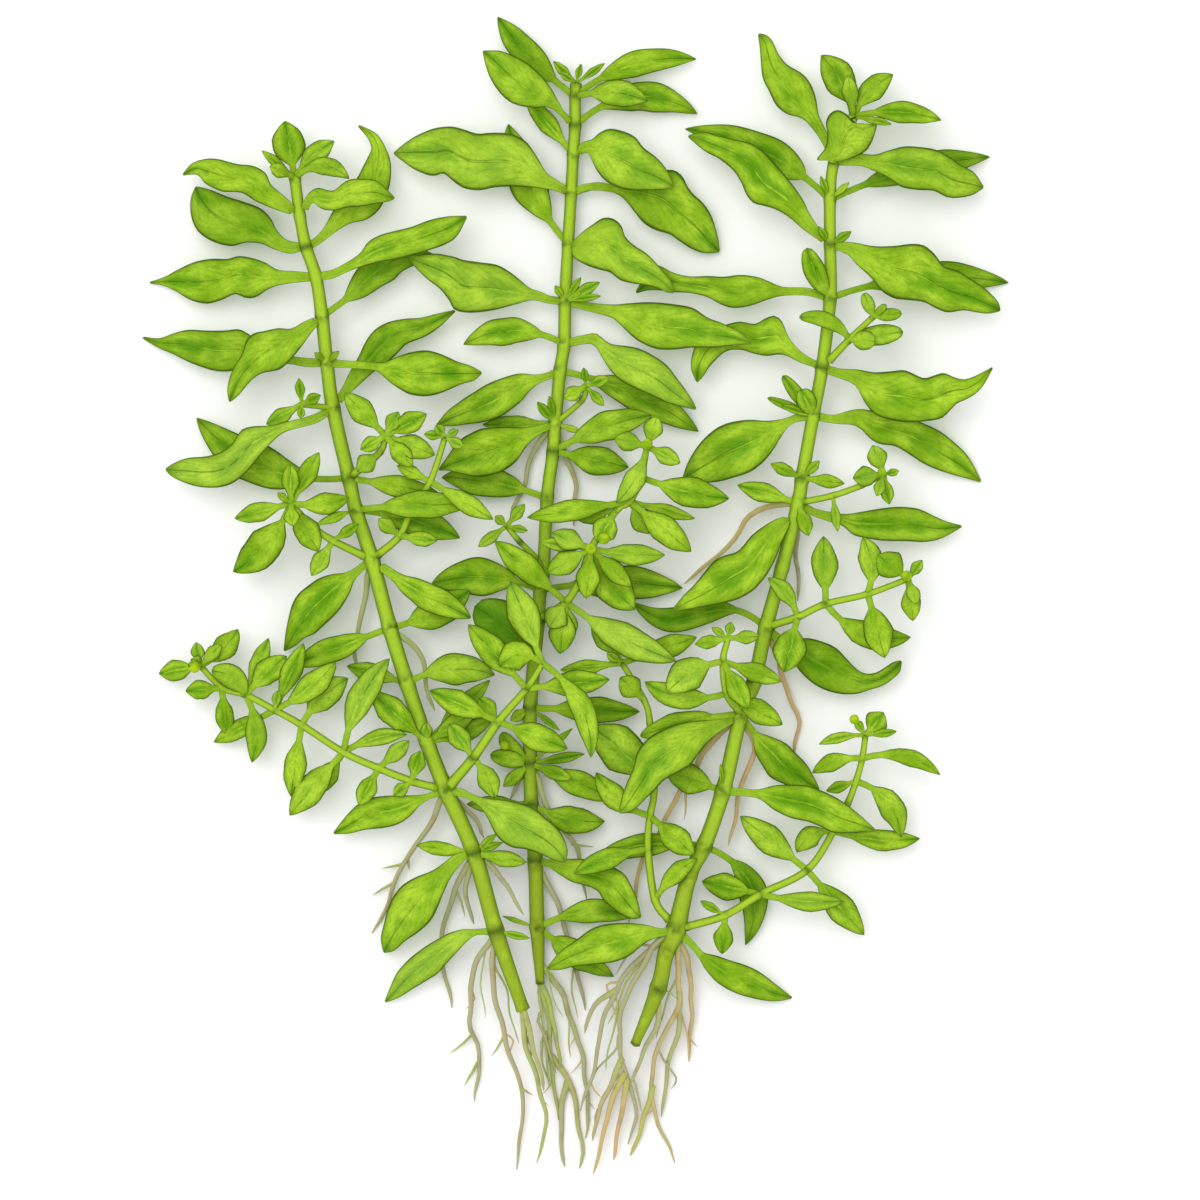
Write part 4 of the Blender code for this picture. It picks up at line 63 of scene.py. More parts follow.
leftLeaves = {
    "leaf_left_1_l": (
        (1, 6, 11, 6),
        (284, 212, 270, 207, 256, 201, 243, 193, 222, 191, 206, 183, 197, 174, 182, 174),
        (286, 199, 272, 187, 266, 175, 254, 168, 238, 166, 220, 161, 207, 160, 192, 164),
    ),
    "leaf_left_1_r": (
        (1, 5.6, 13, 11),
        (310, 195, 319, 190, 334, 193, 348, 183, 362, 181, 377, 183, 387, 191, 395, 199),
        (313, 203, 322, 209, 334, 211, 348, 208, 363, 207, 378, 204, 388, 202),
    ),
    "leaf_left_2_l": (
        (2, 9, 7, 3),
        (
            291, 253, 276, 249, 262, 243, 246, 242, 230, 245, 212, 240, 198, 230, 191, 215,
            190, 198, 194, 185,
        ),
        (287, 241, 277, 232, 270, 219, 260, 209, 245, 203, 227, 197, 208, 189),
    ),
    "leaf_left_2_r": (
        (2, 6.8, 7.5, 5),
        (315, 239, 325, 228, 333, 213, 345, 195, 358, 178, 368, 158, 372, 147, 367, 135, 358, 124),
        (320, 243, 336, 231, 350, 223, 366, 219, 379, 208, 388, 188, 390, 168, 387, 153, 376, 134),
    ),
    "leaf_left_3_l": (
        (3, 9, 7, 1),
        (
            287, 283, 271, 287, 256, 296, 246, 297, 235, 293, 220, 299, 205, 302, 189, 298,
            174, 289, 160, 283, 147, 281,
        ),
        (
            292, 272, 278, 271, 266, 264, 252, 259, 238, 257, 227, 260, 208, 260, 192, 263,
            176, 270, 162, 277,
        ),
    ),
    "leaf_left_3_r": (
        (3, 8, 12, 10),
        (
            333, 271, 349, 263, 361, 255, 369, 244, 381, 237, 396, 233, 412, 229, 430, 222,
            449, 218, 467, 217,
        ),
        (333, 278, 345, 273, 360, 267, 380, 262, 402, 258, 427, 251, 446, 244, 457, 236),
    ),
    "leaf_left_4_l": (
        (4, 8, 14, 10),
        (
            312, 332, 306, 341, 298, 352, 290, 362, 280, 370, 265, 373, 255, 378, 246, 387,
            238, 396, 230, 402,
        ),
        (
            305, 323, 293, 330, 280, 330, 267, 333, 255, 336, 248, 344, 244, 356, 236, 369,
            231, 381, 229, 392,
        ),
    ),
    "leaf_left_5_l": (
        (5, 7.2, 6.5, 1),
        (
            305, 366, 287, 363, 265, 366, 243, 367, 230, 370, 217, 370, 202, 366, 187, 360,
            171, 352, 157, 346, 140, 336,
        ),
        (
            308, 359, 288, 356, 265, 345, 250, 336, 239, 330, 226, 331, 208, 331, 187, 330,
            173, 333, 157, 338,
        ),
    ),
    "leaf_left_5_r": (
        (5, 9, 12, 9),
        (
            348, 362, 368, 363, 383, 364, 396, 359, 411, 354, 427, 352, 442, 356, 458, 363,
            471, 367, 482, 373,
        ),
        (355, 368, 377, 371, 386, 378, 396, 386, 411, 394, 427, 396, 443, 392, 461, 384, 474, 380),
    ),
    "leaf_left_6_l": (
        (6, 9, 14, 7),
        (
            318, 422, 302, 427, 287, 431, 277, 438, 267, 449, 258, 460, 247, 473, 233, 483,
            217, 487, 199, 486, 183, 481, 171, 475, 165, 469,
        ),
        (
            318, 414, 305, 419, 289, 423, 273, 427, 255, 428, 244, 431, 238, 439, 231, 448,
            219, 455, 205, 458, 189, 459, 176, 463,
        ),
    ),
    "leaf_left_6_r": (
        (6, 7.6, 6.5, 6),
        (
            343, 388, 349, 375, 359, 357, 364, 346, 370, 336, 378, 328, 390, 322, 405, 319,
            421, 318, 437, 314, 455, 310,
        ),
        (349, 393, 361, 382, 372, 372, 385, 363, 396, 353, 406, 343, 421, 337, 434, 329, 444, 321),
    ),
    "leaf_left_9_l": (
        (9, 9.6, 9, 3),
        (
            362, 571, 354, 580, 350, 591, 344, 602, 335, 614, 323, 625, 314, 633, 303, 638,
            293, 646, 283, 651,
        ),
        (358, 567, 347, 573, 333, 575, 320, 579, 308, 587, 298, 596, 292, 607, 288, 622, 285, 637),
    ),
    "leaf_left_9_r": (
        (9, 7.2, 12, 11),
        (402, 575, 418, 579, 433, 585, 448, 592, 458, 600, 466, 609, 471, 618),
        (394, 581, 402, 591, 412, 600, 422, 608, 437, 614, 456, 618),
    ),
    "leaf_left_13_l": (
        (13, 6.6, 9, 5),
        (430, 798, 420, 804, 410, 815, 398, 823, 383, 827, 364, 829, 349, 833, 333, 834),
        (429, 794, 414, 796, 395, 796, 375, 798, 360, 804, 348, 815, 339, 826),
    ),
    "leaf_left_13_r": (
        (13, 9.6, 14, 13),
        (
            464, 790, 476, 796, 491, 799, 506, 800, 521, 803, 534, 808, 545, 817, 556, 827,
            563, 837, 567, 849, 566, 861,
        ),
        (467, 797, 479, 804, 487, 814, 493, 826, 500, 837, 512, 845, 529, 848, 545, 854, 558, 860),
    ),
    "leaf_left_14_l": (
        (14, 7.6, 9, 3),
        (
            467, 857, 459, 865, 450, 877, 443, 892, 437, 906, 429, 921, 417, 932, 404, 941,
            393, 951, 383, 954,
        ),
        (
            463, 853, 455, 855, 445, 863, 433, 871, 418, 877, 404, 885, 394, 897, 388, 911,
            384, 926, 381, 940,
        ),
    ),
    "leaf_left_15_l": (
        (15, 5.6, 7, 2),
        (477, 934, 466, 941, 456, 952, 445, 964, 437, 973, 425, 981, 412, 989, 398, 998, 384, 1004),
        (480, 930, 464, 930, 452, 933, 440, 939, 425, 948, 410, 960, 398, 973, 391, 987),
    ),
}
leftSmall = (
    (4, 22.6, 12.4, 6.6, 2.6, 6.5, 5), (0, -2, 11.4, 6.8, 0, 10, 9), (0, 8, 7.2, 4.4, 0.6, 11, 11),
    (0, 11, -0.4, 3.8, 2.4, 12, 11), (0, -6.6, 5.4, 2, 0, 10, 10), (0, -4.8, 2, 3, 0, 13, 14),
    (5, -2.4, 2, 1.4, 0, 10.5, 11.5), (5, 2.6, 2.2, 1.4, 0, 10.5, 11.5),
    (7, -30.8, 12.2, 8.4, 4.3, 4.5, 3), (7, 18.2, -3.2, 4.4, 0, 11.5, 11.5),
    (8, 23.4, 1, 5.6, 0.4, 14.5, 14), (8, 20.8, -5.6, 6.2, 1, 7.5, 7),
    (8, -7.6, -2.6, 1.6, 0, 9.5, 10), (10, -20.2, -7.6, 5.2, 0, 7, 5), (10, 16, 7.6, 6.8, -1, 8, 7),
    (11, -12.2, 3.4, 4, 0, 6.5, 5), (11, 17.6, 1.6, 6.4, 2, 10, 9.5),
    (12, -11.2, 10.2, 5.6, 0, 12, 13), (12, 9.6, 6, 4.2, 0, 10, 11),
    (12, 13.4, 4.8, 4, -0.6, 9.5, 9.5), (12, 12.6, 12.4, 4, 0, 8.5, 8.5),
    (12, 0, 4, 2.4, 0, 11, 12.5), (14, -11.6, 1.6, 3, 0, 9, 8.5),
    (14, 10.6, -1.8, 3.4, 0, 10.5, 10.5), (14, 4.6, 4, 1.6, 0, 9.5, 10.5),
    (14, 5.8, 2.2, 1.6, 0, 9.5, 10), (15, 6.8, -1.4, 1.6, 0, 9, 9.5),
)
leftRoots = (
    ((-45.6, 8, 8), (-48.6, -6.2, 4), (-49, -11.6, 2.5), (-48.4, -15, 1.5)),
    ((-42, -5.6, 8.5), (-36.4, -10.4, 6.5), (-34.8, -16.4, 6), (-33.2, -22.2, 6)),
    ((-30.8, -38, 8), (-34.6, -45.6, 5), (-39.8, -53.8, 3), (-42.8, -61, 1.5), (-45.8, -67, 0.6)),
    ((-30.8, -38, 8), (-26, -42.8, 6), (-23, -47.6, 6)),
    ((-25.2, -50.6, 8), (-30, -60.4, 4.5), (-31.6, -66.6, 3), (-31.4, -73.2, 1.8), (-30, -82, 0.8)),
    ((-25.2, -50.6, 8), (-26.8, -59.4, 5.5), (-25.4, -65, 4.5)),
    ((-25.2, -50.6, 8), (-19.4, -55.8, 8), (-15.6, -63, 8)),
    (
        (-20.8, -66.2, 7.5), (-25.4, -74.6, 5), (-26, -84.4, 3), (-24.4, -91, 1.8),
        (-25, -100.8, 0.6),
    ),
    (
        (-20.8, -66.2, 7.5), (-21.4, -78.2, 6), (-19.4, -86, 5), (-16.8, -95, 4),
        (-15.6, -100.2, 3), (-16, -109.4, 1.5), (-17, -114.6, 0.6),
    ),
    ((-15.6, -81, 7.5), (-14.6, -89.6, 7), (-12.2, -98, 6), (-10.6, -104.6, 5), (-13, -113, 4)),
    ((-15.6, -81, 7.8), (-12.6, -91.6, 8), (-11.4, -98.2, 7.5)),
)
leftRootlets = (
    ((-39.4, -53, 3.2), (-44, -54, 2)), ((-38.6, -51.8, 3.4), (-38.4, -54.2, 2.6)),
    ((-41, -56.6, 2.4), (-45.8, -59.4, 1.2)), ((-29, -57.8, 5), (-27.2, -63.6, 4)),
    ((-25.4, -87, 2.6), (-30, -91.2, 1)), ((-24.6, -93, 1.5), (-27.2, -97.8, 0.8)),
    ((-19, -87.2, 4.8), (-22, -91.6, 3.5)), ((-16, -98, 3.6), (-13.4, -99.4, 3.6)),
)

middleNodes = (
    (-4.8, 103.6, 4, 1.2), (-5, 101, 4, 1.2), (-5, 95.2, 4, 1.3), (-5.4, 89.4, 4, 1.3),
    (-5.8, 81.6, 4, 1.3), (-6.4, 71.4, 4, 1.3), (-7, 60, 4, 1.4), (-7.2, 51.4, 4, 1.4),
    (-8, 46, 4, 1.4), (-9, 35.4, 4, 1.4), (-9.4, 29.8, 4, 1.4), (-10.6, 20.4, 4, 1.4),
    (-11.4, 5.4, 4, 1.4), (-12, 2, 4, 1.4), (-12.4, -4, 4, 1.5), (-14, -21.6, 4, 1.5),
    (-14, -32.8, 4, 1.5), (-13.8, -41, 4, 1.5), (-13, -52.4, 4, 1.6), (-12.6, -65.8, 3.8, 1.6),
    (-12, -77, 3.4, 0.9),
)
middleLeaves = {
    "leaf_middle_2_l": (
        (2, 6.8, 9, 8),
        (
            565, 119, 556, 110, 547, 106, 536, 107, 523, 106, 511, 102, 500, 92, 491, 78, 486, 64,
            483, 51,
        ),
        (566, 115, 559, 104, 551, 90, 541, 77, 529, 66, 515, 58, 500, 52),
    ),
    "leaf_middle_3_r": (
        (3, 8.8, 9.5, 8),
        (
            584, 142, 592, 140, 599, 134, 610, 130, 624, 133, 635, 139, 643, 149, 655, 158,
            664, 168, 671, 179, 674, 187,
        ),
        (586, 151, 591, 157, 596, 168, 605, 180, 617, 187, 630, 190, 646, 190, 661, 189),
    ),
    "leaf_middle_4_l": (
        (4, 11.4, 9, 5),
        (
            555, 189, 540, 187, 527, 186, 511, 186, 496, 187, 480, 190, 465, 188, 454, 181,
            444, 173, 436, 175, 427, 174, 414, 168, 403, 160, 393, 152,
        ),
        (
            556, 180, 546, 173, 538, 160, 527, 144, 514, 136, 502, 134, 489, 134, 477, 135,
            464, 131, 452, 128, 436, 129, 421, 134, 408, 141,
        ),
    ),
    "leaf_middle_4_r": (
        (4, 8.4, 5, 2),
        (
            584, 184, 599, 182, 612, 184, 630, 183, 648, 176, 661, 171, 673, 170, 682, 176,
            687, 186, 693, 194, 702, 202, 710, 213, 715, 226, 718, 238, 720, 250,
        ),
        (
            586, 189, 602, 189, 617, 192, 627, 200, 636, 212, 646, 223, 658, 229, 671, 233,
            681, 240, 693, 247, 706, 251,
        ),
    ),
    "leaf_middle_5_r": (
        (5, 7.6, 10, 10),
        (
            574, 232, 584, 231, 593, 225, 603, 219, 613, 220, 621, 227, 625, 238, 634, 247,
            646, 255, 655, 264, 663, 273, 671, 283, 674, 293,
        ),
        (574, 256, 586, 264, 599, 269, 610, 272, 619, 279, 631, 283, 646, 285, 658, 288, 667, 292),
    ),
    "leaf_middle_6_l": (
        (6, 9.2, 9, 9),
        (
            548, 302, 533, 299, 517, 303, 499, 308, 483, 311, 467, 312, 455, 309, 449, 299,
            440, 288, 427, 278, 416, 267, 407, 256,
        ),
        (
            552, 297, 540, 292, 530, 289, 520, 281, 508, 272, 496, 266, 480, 264, 464, 262,
            452, 258, 436, 255, 421, 256,
        ),
    ),
    "leaf_middle_6_r": (
        (6, 7.6, 8, 13),
        (
            590, 303, 612, 305, 627, 304, 648, 303, 671, 305, 692, 309, 707, 319, 722, 325,
            738, 333, 751, 344,
        ),
        (
            590, 310, 611, 316, 621, 324, 630, 333, 640, 341, 656, 348, 673, 349, 693, 347,
            714, 347, 733, 345,
        ),
    ),
    "leaf_middle_7_r": (
        (7, 8.4, 9, 7),
        (
            581, 336, 595, 334, 602, 339, 611, 345, 627, 347, 640, 350, 655, 358, 667, 367,
            677, 380, 686, 392, 692, 401, 696, 409,
        ),
        (583, 343, 594, 344, 602, 356, 611, 370, 621, 380, 636, 388, 652, 395, 668, 402, 683, 406),
    ),
    "leaf_middle_8_l": (
        (8, 7.2, 6, 5),
        (
            549, 378, 539, 382, 530, 389, 521, 400, 511, 408, 499, 416, 483, 421, 467, 423,
            450, 425, 436, 425,
        ),
        (550, 372, 536, 375, 520, 374, 505, 378, 489, 384, 474, 393, 458, 404, 447, 412),
    ),
    "leaf_middle_9_l": (
        (9, 9.2, 8, 9),
        (
            543, 431, 533, 438, 525, 447, 517, 459, 508, 467, 496, 473, 477, 476, 461, 473,
            449, 470, 439, 470,
        ),
        (543, 425, 527, 428, 511, 428, 496, 428, 482, 430, 472, 434, 463, 439, 455, 447, 447, 459),
    ),
    "leaf_middle_18_r": (
        (18, 6.8, 8, 9),
        (551, 861, 567, 860, 583, 860, 599, 864, 613, 868, 624, 875, 631, 887, 637, 901, 641, 917),
        (547, 866, 560, 874, 572, 881, 587, 885, 598, 890, 604, 899, 614, 908, 625, 915, 634, 918),
    ),
}
middleSmall = (
    (1, 14.6, -1.2, 5.6, 1, 9, 8), (0, -4.6, 4.4, 2, 0, 5, 5.5), (0, 5.8, 4, 1.6, 0, 5, 5.5),
    (0, 1, 3.8, 1.4, 0, 5, 6), (0, -3.2, 2, 1.6, 0, 6, 7), (1, -15.6, 16.2, 5.8, 1, 3.5, 2),
    (1, 24.4, 7.5, 5.2, 2.6, 5, 4), (2, 24.6, 2.4, 6.2, 4.6, 3.5, 2.5), (3, -9.6, 11.6, 4, 0, 4, 4),
    (5, -12, 24.2, 7.6, 1.8, 3.5, 3), (6, -2, 3, 1.6, 0, 6, 7), (6, 3.2, 4.6, 1.6, 0, 7, 8.5),
    (6, 7, 3.6, 2.4, 0, 7.5, 8), (6, 7.2, 0.8, 1.6, 0, 7.5, 8.5), (7, -20.2, -0.2, 5.6, -2.6, 7, 5),
    (8, 27.8, -12.2, 6.4, 1.6, 4, 3), (9, -3.6, 4.2, 2, 0, 6, 7.5), (9, -1.2, 5.4, 1.6, 0, 6, 7.5),
    (9, -14.6, -0.2, 3.6, 0, 3.5, 3), (9, 5.4, -1.8, 1.4, 0, 5, 5.5), (10, 19.8, 7.2, 6, 1, 6.5, 7),
    (10, 15.2, -3.2, 6, 0, 5.5, 5.5), (11, -21.2, 4.2, 6.4, -1, 4, 4),
    (13, -21.8, 1.2, 7.6, -2, 5.5, 5), (13, 28.6, 0.4, 7, 1.2, 4, 3.5),
    (15, -4, -2.6, 2.4, 0, 5, 5.5), (15, 22, -0.8, 5.4, 0, 6, 4.5), (15, 6, -4.6, 1.4, 0, 5, 5.5),
    (16, -5.6, 6.4, 3.6, 0.8, 5.5, 6.5), (16, -8, 1.8, 3.6, 0, 5.5, 6.5),
    (16, -5.4, -4.6, 2.8, 0, 5.5, 6), (16, 8.4, -3, 3, 0, 7, 7.5), (16, 11, 2, 2.2, 0, 6, 6.5),
    (16, 8.6, 7.2, 1.6, 0, 6, 6.5), (16, 17.6, -7.2, 5.2, 0, 6, 5.5),
    (17, 14.8, -3.4, 5.6, -1.2, 4.5, 4), (17, -13, 0, 3.6, 0, 3.5, 3.5),
    (19, 20.6, 2.4, 4.9, 2.2, 5.5, 5), (19, 15.4, -9.8, 5.4, -0.2, 4, 3.5),
    (19, -7, 2.4, 1, 0, 4, 4.5),
)
middleRoots = (
    ((-9, 35.4, 3.8), (-13.8, 29, 2.5), (-15.4, 22.8, 2.2), (-17.8, 17.2, 1.8)),
    ((-9, 35.4, 3.8), (-6.8, 29, 2.5), (-5.2, 24, 2.2), (-5.2, 15, 1.8)),
    ((-14, -32.8, 4), (-16.6, -36.6, 3.5), (-18, -40, 3)),
    ((-14, -32.8, 4), (-11, -39.8, 4), (-9.4, -44, 3.5), (-4.6, -50.2, 3), (-2.8, -60.2, 2.5)),
    ((-13, -52.4, 3.8), (-8.2, -62, 3), (-6, -68.6, 2.2), (-4.6, -75.8, 1.8), (-2.8, -82.4, 1.2)),
    ((-12.2, -75.8, 3.2), (-10.6, -83.6, 2.4), (-9.8, -91.6, 1.6), (-8.6, -104.6, 0.6)),
    ((-12.2, -75.8, 3.2), (-9, -86, 2.8), (-8.2, -94, 2.2)),
    (
        (-12.4, -72, 3.2), (-7.4, -79.8, 2.8), (-4.4, -88.8, 2), (-2.6, -98, 1.4),
        (-2.8, -108.2, 0.6),
    ),
    ((-9.8, -91.6, 1.6), (-6, -97.6, 1.2), (-3.6, -109, 0.9), (-4.2, -114.4, 0.6)),
    ((-6.6, -96.8, 1.2), (-8, -103.4, 1), (-7, -114, 0.6)),
)
middleRootlets = (
    ((-5.6, -49, 3.2), (-1.4, -49.6, 3)),
)

rightNodes = (
    (50.6, 96.6, 9, 1.1), (46.8, 87.6, 9, 1.2), (46, 80, 9, 1.3), (46, 71, 9, 1.3),
    (46, 60.4, 9, 1.4), (44.4, 46.4, 9, 1.4), (42.6, 36.8, 9, 1.4), (40.4, 24.4, 9, 1.5),
    (39.6, 19.4, 9, 1.5), (36.4, 6.4, 9, 1.5), (33.2, -5.4, 9, 1.6), (30.8, -16.4, 9, 1.6),
    (28.2, -22.8, 9, 1.6), (24.6, -38.2, 9, 1.7), (20.8, -49.2, 9, 1.7), (17.8, -55.2, 8.5, 1.7),
    (15.2, -66, 8, 2.1), (13.2, -70.6, 8, 1.7), (11.6, -77.8, 7.5, 1.8), (7, -89, 6.5, 1),
)
rightLeaves = {
    "leaf_right_1_l": (
        (1, 6.8, 6.5, 4),
        (
            824, 145, 815, 130, 803, 118, 787, 113, 777, 104, 770, 90, 764, 77, 762, 60, 761, 46,
            759, 32,
        ),
        (
            829, 140, 824, 128, 818, 115, 815, 97, 809, 82, 800, 72, 787, 64, 778, 53, 772, 40,
            766, 34,
        ),
    ),
    "leaf_right_1_front": (
        (1, 7.6, 14, 18),
        (
            817, 161, 825.5, 149.5, 827, 136, 825.5, 126, 828.5, 118, 835.5, 113.5, 843.5, 118,
            852, 126, 861, 127, 874, 128,
        ),
        (852, 158.5, 863.5, 153, 870, 143),
    ),
    "leaf_right_1_r": (
        (1, 8.4, 12, 7),
        (
            856, 155, 873, 157, 887, 153, 903, 149, 920, 150, 937, 153, 950, 160, 961, 167,
            974, 174, 984, 187,
        ),
        (860, 166, 873, 171, 887, 178, 900, 187, 917, 190, 933, 191, 947, 197, 960, 197, 973, 194),
    ),
    "leaf_right_3_l": (
        (3, 8.8, 11, 8),
        (
            816, 238, 803, 229, 790, 218, 777, 210, 764, 206, 753, 203, 746, 194, 741, 182,
            732, 169, 719, 158, 704, 150, 688, 136,
        ),
        (
            818, 229, 808, 214, 803, 203, 795, 191, 784, 177, 773, 164, 763, 153, 750, 145,
            733, 141, 717, 137, 703, 133,
        ),
    ),
    "leaf_right_3_r": (
        (3, 10, 12, 9),
        (
            853, 244, 873, 248, 893, 248, 910, 246, 923, 248, 933, 257, 942, 268, 957, 273,
            973, 283, 987, 293, 997, 303, 1000, 311,
        ),
        (
            847, 254, 857, 265, 870, 277, 880, 290, 893, 298, 907, 300, 923, 302, 933, 307,
            947, 312, 963, 310, 977, 312, 988, 313,
        ),
    ),
    "leaf_right_4_l": (
        (4, 5.2, 8, 5),
        (
            807, 295, 783, 295, 767, 299, 750, 305, 733, 307, 720, 303, 707, 296, 690, 292,
            675, 291, 660, 289, 647, 289, 636, 292,
        ),
        (
            807, 289, 783, 288, 770, 283, 757, 278, 740, 276, 723, 278, 707, 277, 690, 277,
            676, 274, 665, 269, 657, 266, 648, 272,
        ),
    ),
    "leaf_right_5_l": (
        (5, 6.4, 8.5, 7),
        (
            812, 366, 800, 362, 783, 354, 767, 355, 755, 353, 740, 349, 727, 350, 717, 357,
            708, 367, 703, 375, 697, 382,
        ),
        (
            810, 359, 799, 351, 791, 342, 786, 333, 782, 323, 775, 317, 766, 319, 755, 325,
            740, 323, 725, 326, 710, 333, 698, 343, 693, 356, 692, 369,
        ),
    ),
    "leaf_right_5_r": (
        (5, 9.2, 12.5, 11),
        (
            840, 370, 857, 371, 873, 374, 890, 373, 903, 372, 913, 376, 923, 380, 934, 377,
            943, 375, 953, 379, 963, 381, 973, 378, 983, 373, 992, 368,
        ),
        (
            837, 377, 850, 382, 857, 388, 863, 400, 873, 413, 887, 419, 906, 422, 924, 421,
            940, 418, 949, 410, 956, 403, 967, 398, 977, 391, 984, 382,
        ),
    ),
    "leaf_right_6_l": (
        (6, 8.4, 10, 6),
        (
            797, 421, 787, 427, 780, 437, 772, 450, 763, 461, 750, 471, 733, 477, 717, 481,
            700, 482, 690, 480, 683, 478,
        ),
        (797, 415, 783, 420, 767, 422, 750, 421, 733, 423, 719, 428, 706, 438, 696, 450, 688, 464),
    ),
    "leaf_right_6_r": (
        (6, 8, 6, 1),
        (
            833, 416, 847, 412, 860, 410, 874, 412, 890, 415, 908, 418, 926, 425, 941, 432,
            954, 442, 966, 453, 974, 464, 983, 481,
        ),
        (
            837, 423, 853, 424, 862, 429, 870, 437, 880, 443, 896, 445, 910, 453, 924, 462,
            940, 469, 957, 474, 972, 478,
        ),
    ),
    "leaf_right_8_l": (
        (8, 9.6, 13, 11),
        (
            793, 517, 787, 528, 781, 541, 775, 557, 766, 573, 754, 588, 740, 597, 723, 602,
            707, 605, 690, 608, 672, 611,
        ),
        (
            787, 512, 774, 521, 761, 529, 751, 537, 743, 547, 736, 553, 723, 557, 713, 563,
            703, 575, 693, 587, 683, 597,
        ),
    ),
    "leaf_right_8_r": (
        (8, 6.6, 8, 4),
        (
            813, 509, 830, 513, 845, 515, 860, 513, 877, 510, 893, 508, 907, 508, 920, 510,
            933, 516, 947, 522, 963, 526,
        ),
        (
            813, 515, 830, 521, 843, 525, 854, 534, 870, 538, 887, 540, 907, 540, 923, 541,
            937, 539, 947, 535, 956, 530,
        ),
    ),
    "leaf_right_10_r": (
        (10, 7.2, 6.5, 6),
        (
            781, 636, 795, 640, 808, 639, 823, 643, 836, 649, 847, 660, 857, 670, 867, 675,
            877, 674, 887, 668, 894, 663, 902, 661,
        ),
        (
            779, 645, 790, 656, 800, 670, 810, 680, 823, 688, 840, 693, 857, 693, 870, 689,
            883, 685, 893, 678, 900, 671,
        ),
    ),
    "leaf_right_12_l": (
        (12, 10.4, 14, 13),
        (
            728, 725, 716, 733, 706, 742, 698, 752, 690, 763, 679, 770, 664, 778, 655, 787,
            645, 797, 636, 806, 627, 811, 619, 812,
        ),
        (
            728, 718, 716, 720, 700, 721, 683, 723, 667, 728, 653, 735, 643, 744, 637, 754,
            634, 767, 628, 781, 623, 795,
        ),
    ),
    "leaf_right_13_r": (
        (13, 8.4, 12, 11),
        (
            743, 789, 757, 790, 773, 786, 790, 785, 807, 786, 823, 792, 837, 799, 850, 808,
            863, 819, 875, 830,
        ),
        (745, 795, 760, 798, 773, 808, 790, 816, 807, 820, 820, 825, 833, 831, 850, 831, 866, 830),
    ),
    "leaf_right_16_l": (
        (16, 6.8, 12, 11),
        (662, 935, 649, 939, 639, 946, 629, 954, 614, 960, 595, 962, 576, 964, 560, 968, 547, 968),
        (660, 929, 645, 925, 626, 923, 606, 924, 591, 929, 575, 941, 560, 952),
    ),
    "leaf_right_16_r": (
        (16, 7.2, 7, 1),
        (695, 944, 703, 953, 717, 957, 732, 962, 747, 967, 763, 976, 778, 988, 793, 1000),
        (690, 946, 699, 957, 707, 970, 719, 983, 737, 993, 756, 999, 776, 1002),
    ),
}
rightSmall = (
    (4, 36.2, 3.4, 6.4, 2.4, 5, 1), (0, -6.4, 12.4, 6.6, -1, 9, 8.5), (0, -1.2, 8, 3.4, 0, 12, 13),
    (0, 8, 8.4, 4.8, 1, 10, 10), (0, 17.6, -0.8, 4.4, 1.2, 11, 10), (0, 7.6, -1.8, 1.6, 0, 12, 13),
    (2, 32.4, 9, 5.8, 1.6, 5.5, 2.5), (2, -29, 14.6, 7.2, -2.8, 5.5, 3),
    (2, -2, 4.6, 1.4, 0, 10.5, 11.5), (2, 3.8, 3.4, 1.4, 0, 10, 10.5),
    (3, -2.4, 3.6, 1.4, 0, 10.5, 11.5), (3, 4.2, 2.6, 1.8, 0, 10, 10.5),
    (4, -4.8, 9.8, 4.4, 0.6, 12, 13), (4, -3, 6, 1.4, 0, 11, 13), (6, -2.6, 5.2, 4, 0, 12, 13.5),
    (6, -6.2, 8, 2.8, 0, 11, 12), (6, -9.2, 3.6, 1.9, 0, 10, 10.5), (6, -6.4, 2, 1.6, 0, 11, 12),
    (7, -6.4, 2.8, 2.6, 0, 11, 12), (7, 3.4, 3.4, 2, 0, 11, 12), (7, 8.4, -1.2, 2.8, 0, 12, 12),
    (8, -12.2, 3.6, 4, 0, 9.5, 9.5), (8, 2, -6.6, 3.2, 0, 12, 13.5), (10, -26.8, 5, 5.2, 0, 6.5, 6),
    (12, 15.8, -15.2, 7, -1.4, 6.5, 5), (13, -11.6, 4.2, 6, 0, 7, 6.5),
    (13, -0.6, 5.6, 1, 0, 11, 11.5), (14, -21.6, -2.4, 4.8, -1.4, 5.5, 5),
    (14, 8.4, -20.2, 5.6, 5.6, 5, 2), (12, -20.2, -4.4, 4.8, -0.8, 12.4, 11.5),
)
